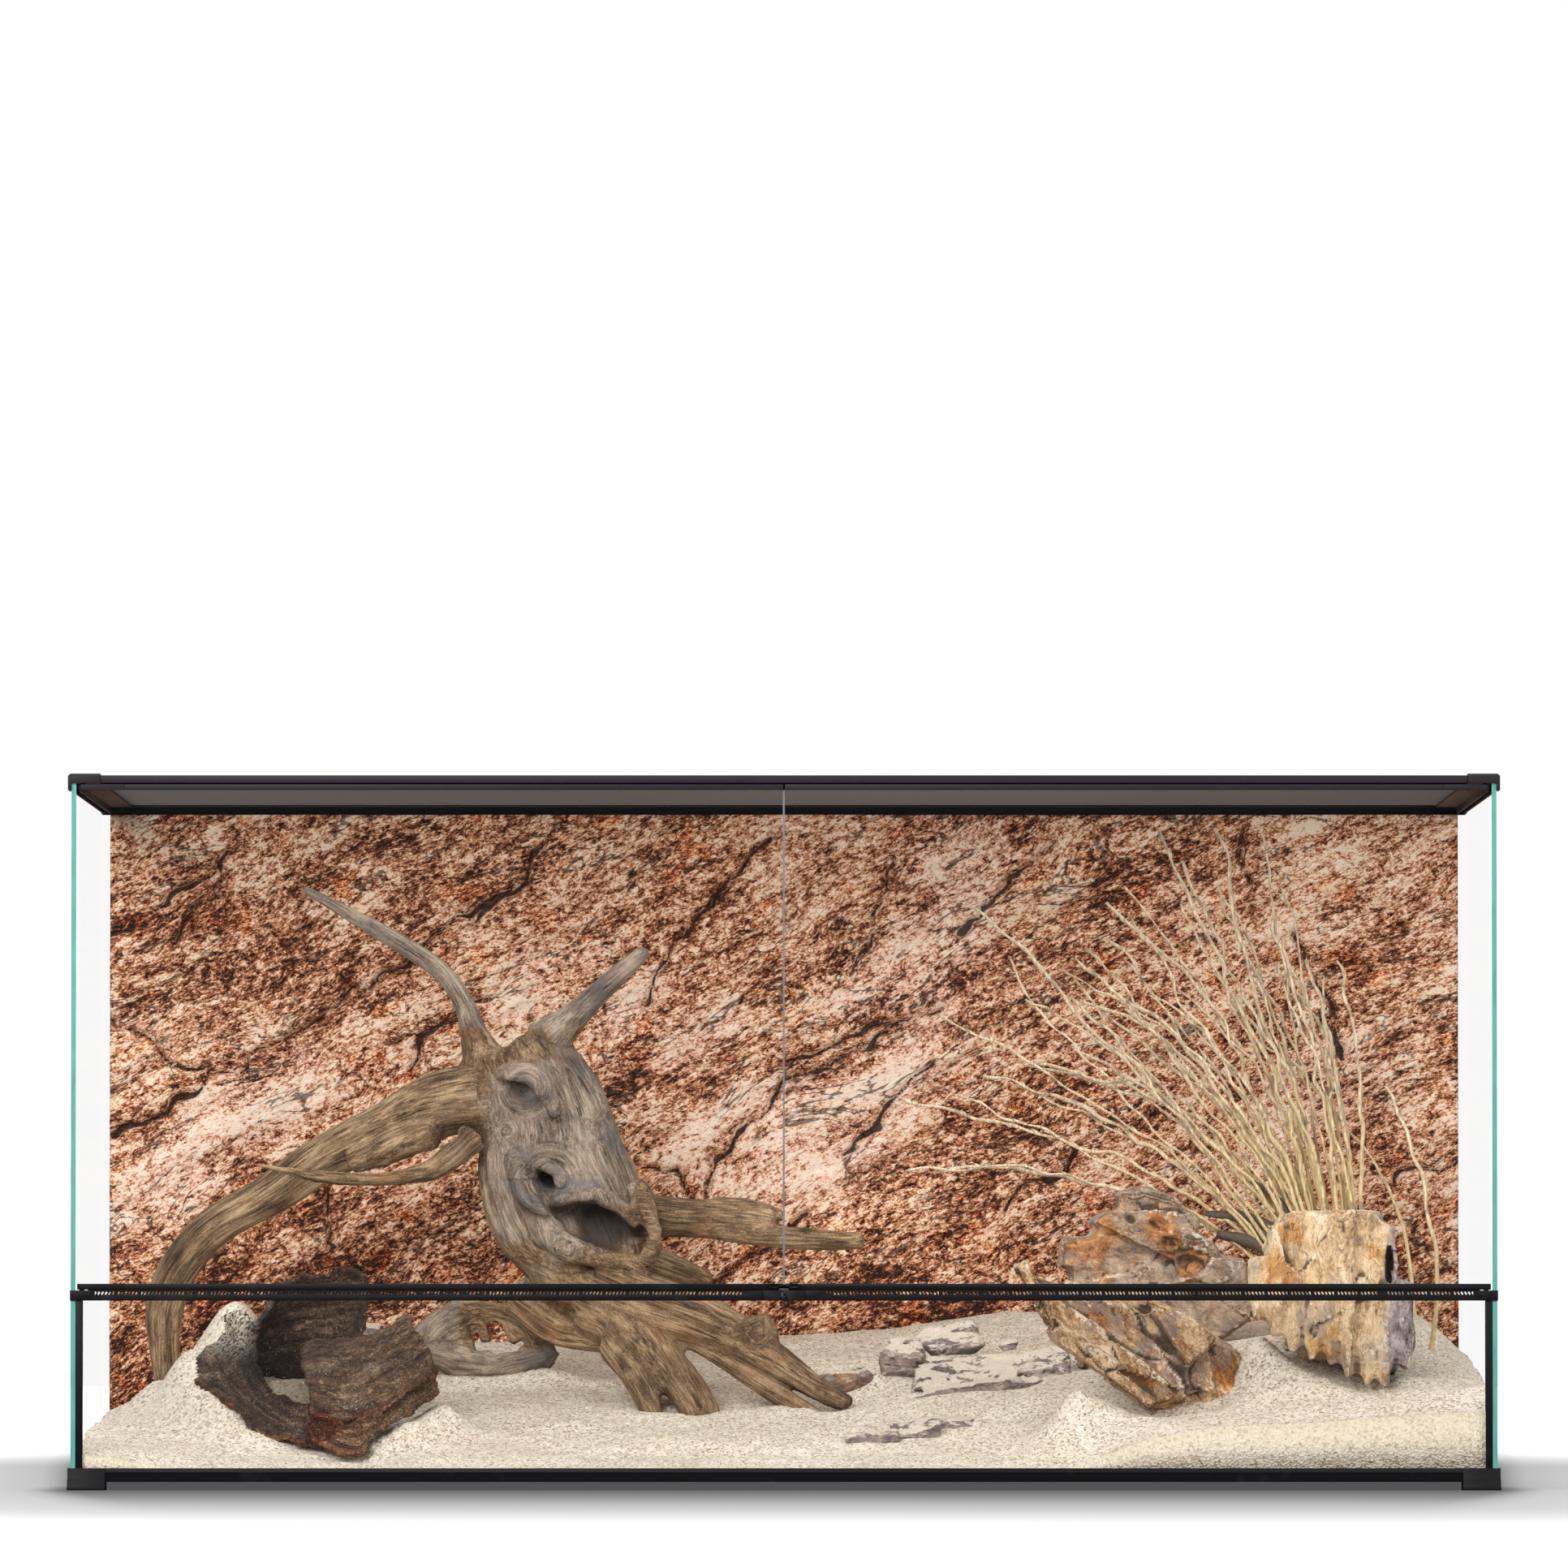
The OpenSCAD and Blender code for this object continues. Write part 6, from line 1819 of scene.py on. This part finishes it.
class TERRARIUM_OT_wood(bpy.types.Operator):
    """Makes the driftwood, the bark and the knotty wood"""

    bl_idname = "terrarium.wood"
    bl_label = "Wood and bark"

    def execute(self, context):
        driftwood(weathered_wood("driftwood_grain"))
        cork_bark(dark_bark("dark_bark"))
        knotty_wood(weathered_wood("knotty_grain"))
        return {"FINISHED"}


class TERRARIUM_OT_rocks(bpy.types.Operator):
    """Makes the slab, the boulder, the pillar and the loose stones"""

    bl_idname = "terrarium.rocks"
    bl_label = "Rocks"

    def execute(self, context):
        leaning_slab(layered_stone(
            "ochre_slab", (0, SLAB_LEAN, 0), shade(74, 51, 35), shade(162, 124, 86), shade(228, 196, 158),
            shade(232, 214, 188), shade(196, 140, 82)))
        boulder(layered_stone(
            "grey_boulder", (0, BOULDER_LEAN, 0), shade(88, 72, 62), shade(156, 131, 108),
            shade(198, 174, 150), shade(228, 212, 192), shade(206, 148, 92), (0.6, 1, 1)))
        pillar(layered_stone(
            "tan_pillar", (0, 0, 0), shade(112, 86, 64), shade(196, 162, 120), shade(234, 208, 172),
            shade(238, 226, 206), shade(190, 142, 86), (1, 1, 0.45), grey_from=0.502))
        loose_stones(layered_stone(
            "pale_flagstone", (0, math.radians(4), 0), shade(66, 58, 56), shade(112, 100, 96),
            shade(166, 148, 134), shade(206, 192, 176), shade(168, 136, 104), (0.4, 0.4, 1), 0.85))
        return {"FINISHED"}


class TERRARIUM_OT_grass(bpy.types.Operator):
    """Makes the tuft of dry grass"""

    bl_idname = "terrarium.grass"
    bl_label = "Dry grass"

    def execute(self, context):
        dry_grass(context.scene.terrarium_land, dry_straw("dry_straw"))
        return {"FINISHED"}


CAMERA_DISTANCE = 11.95
CAMERA_HEIGHT = 0.1576
PICTURE_SIZE = 1932                         # width and height of the picture
PICTURE_FOCUS = 17145                       # distance at which a metre takes as many pixels
HORIZON_ROW = 1604                          # row of the picture that is level with the camera
LAMP_AIM = Vector((0, 0, 0.3))
FLOOR_REACH = 14.0                          # half the width of the floor
SHADOW_EDGE = 0.075                         # width of the soft edge of the painted shadow beside the case


class TERRARIUM_OT_stage(bpy.types.Operator):
    """Sets up the camera, the floor, the lamps and the world"""

    bl_idname = "terrarium.stage"
    bl_label = "Camera, floor and light"

    def execute(self, context):
        self.camera(context)
        self.floor()
        self.world(context)
        self.lamp("key_lamp", (-1.3, -3.1, 1.7), (2.0, 1.6), 120)
        self.lamp("fill_lamp", (2.2, -2.9, 1.1), (1.8, 1.6), 44)
        self.lamp("top_lamp", (0, 0.1, 2.6), (2.2, 1.6), 22)
        context.scene.view_settings.view_transform = "Standard"
        return {"FINISHED"}

    def camera(self, context):
        """A camera far in front, tilted up to the middle of the case."""
        data = bpy.data.cameras.new("camera")
        data.sensor_width = 36
        data.lens = PICTURE_FOCUS / PICTURE_SIZE * data.sensor_width
        data.clip_end = 100
        camera = linked("camera", data)
        camera.location = (0, -CAMERA_DISTANCE, CAMERA_HEIGHT)
        tilt = math.atan((HORIZON_ROW - PICTURE_SIZE / 2) / PICTURE_FOCUS)
        camera.rotation_euler = (QUARTER_TURN + tilt, 0, 0)
        context.scene.camera = camera

    def floor(self):
        """A wide pale floor that stays white away from the case, with a soft shadow painted beside it."""
        paint = Paint("pale_floor")
        spot = paint.node("TexCoord", out="Object")
        x, y = (paint.part(spot, axis) for axis in (0, 1))
        widening = 1 + paint.most(y, 0.0) / 12
        before = paint.most(-CASE_HIGH[1] - y, 0.0) / 2.6
        behind = paint.most(y - 0.8, 0.0) / 4.5
        softer = SHADOW_EDGE + paint.maths("MINIMUM", before, 1.0) * 0.35
        beside = paint.most(abs(x) / widening - CASE_HIGH[0] + softer - SHADOW_EDGE, 0.0) / softer
        clear = paint.maths("SQRT", beside * beside + before * before + behind * behind)
        # Painted shadow: the floor's tone darkens round the case, darkest next to it
        tone = paint.ramp(clear, (0.0, 130, 130, 131), (0.17, 176, 176, 176),
                          (0.34, 222, 222, 222), (0.5, 243, 243, 243), (1.0, (1, 1, 1, 1)))
        seen = paint.node("LightPath", out="Is Camera Ray")
        share = paint.mix(0.8, tone, (0, 0, 0, 1))
        diffuse = paint.node("BsdfDiffuse", None, {"Color": share})
        far = paint.band(paint.most(abs(x), abs(y)), 1.2, 3.6)
        glow = paint.node("Emission", None, {"Color": tone, "Strength": seen * (0.40 + far)})
        mesh = bpy.data.meshes.new("floor")
        corners = [(FLOOR_REACH * a, FLOOR_REACH * b, 0) for a, b in ((-1, -1), (1, -1), (1, 1), (-1, 1))]
        mesh.from_pydata(corners, [], [(0, 1, 2, 3)])
        mesh.materials.append(paint.finish(paint.node("AddShader", None, {0: diffuse, 1: glow})))
        floor = linked("floor", mesh)

    def world(self, context):
        """Even pale light, white where the camera, glass or gloss sees it."""
        world = bpy.data.worlds.new("studio")
        paint = Paint("studio", world)
        seen, through, mirrored = (
            paint.node("LightPath", out=f"Is {ray} Ray") for ray in ("Camera", "Transmission", "Glossy"))
        strength = paint.maths("MINIMUM", 0.72 + (seen + through) * 0.28 + mirrored * 0.28, 1.0)
        sky = paint.node("Background", None, {"Color": (1, 1, 1, 1), "Strength": strength})
        paint.node("OutputWorld", None, {"Surface": sky})
        context.scene.world = world

    def lamp(self, name, place, size, power):
        """A soft lamp that points at the middle of the case."""
        data = bpy.data.lights.new(name, "AREA")
        data.shape = "RECTANGLE"
        data.size, data.size_y = size
        data.energy = power
        lamp = linked(name, data)
        lamp.location = place
        lamp.rotation_euler = (LAMP_AIM - Vector(place)).to_track_quat("-Z", "Y").to_euler()


PIECE_OPERATORS = (TERRARIUM_OT_stage, TERRARIUM_OT_glass, TERRARIUM_OT_frame, TERRARIUM_OT_mesh,
                   TERRARIUM_OT_relief, TERRARIUM_OT_sand, TERRARIUM_OT_wood, TERRARIUM_OT_rocks,
                   TERRARIUM_OT_grass)


class TERRARIUM_PT_panel(bpy.types.Panel):
    """Lists the settings and the steps"""

    bl_idname = "TERRARIUM_PT_panel"
    bl_label = "Terrarium"
    bl_space_type = "VIEW_3D"
    bl_region_type = "UI"
    bl_category = "Terrarium"

    def draw(self, context):
        for settings in (context.scene.terrarium_case, context.scene.terrarium_land):
            box = self.layout.box()
            for name in settings.__annotations__:
                box.prop(settings, name)
        for operator in PIECE_OPERATORS:
            self.layout.operator(operator.bl_idname)


CLASSES = (TerrariumCaseSettings, TerrariumLandSettings, *PIECE_OPERATORS, TERRARIUM_PT_panel)


def register():
    """Adds the add-on's classes and settings to Blender."""
    for cls in CLASSES:
        bpy.utils.register_class(cls)
    bpy.types.Scene.terrarium_case = PointerProperty(type=TerrariumCaseSettings)
    bpy.types.Scene.terrarium_land = PointerProperty(type=TerrariumLandSettings)


def unregister():
    """Takes them away again."""
    del bpy.types.Scene.terrarium_land
    del bpy.types.Scene.terrarium_case
    for cls in reversed(CLASSES):
        bpy.utils.unregister_class(cls)


def main():
    """Makes the stage and every piece."""
    register()
    for operator in PIECE_OPERATORS:
        group, name = operator.bl_idname.split(".")
        getattr(getattr(bpy.ops, group), name)()


if __name__ == "__main__":
    main()
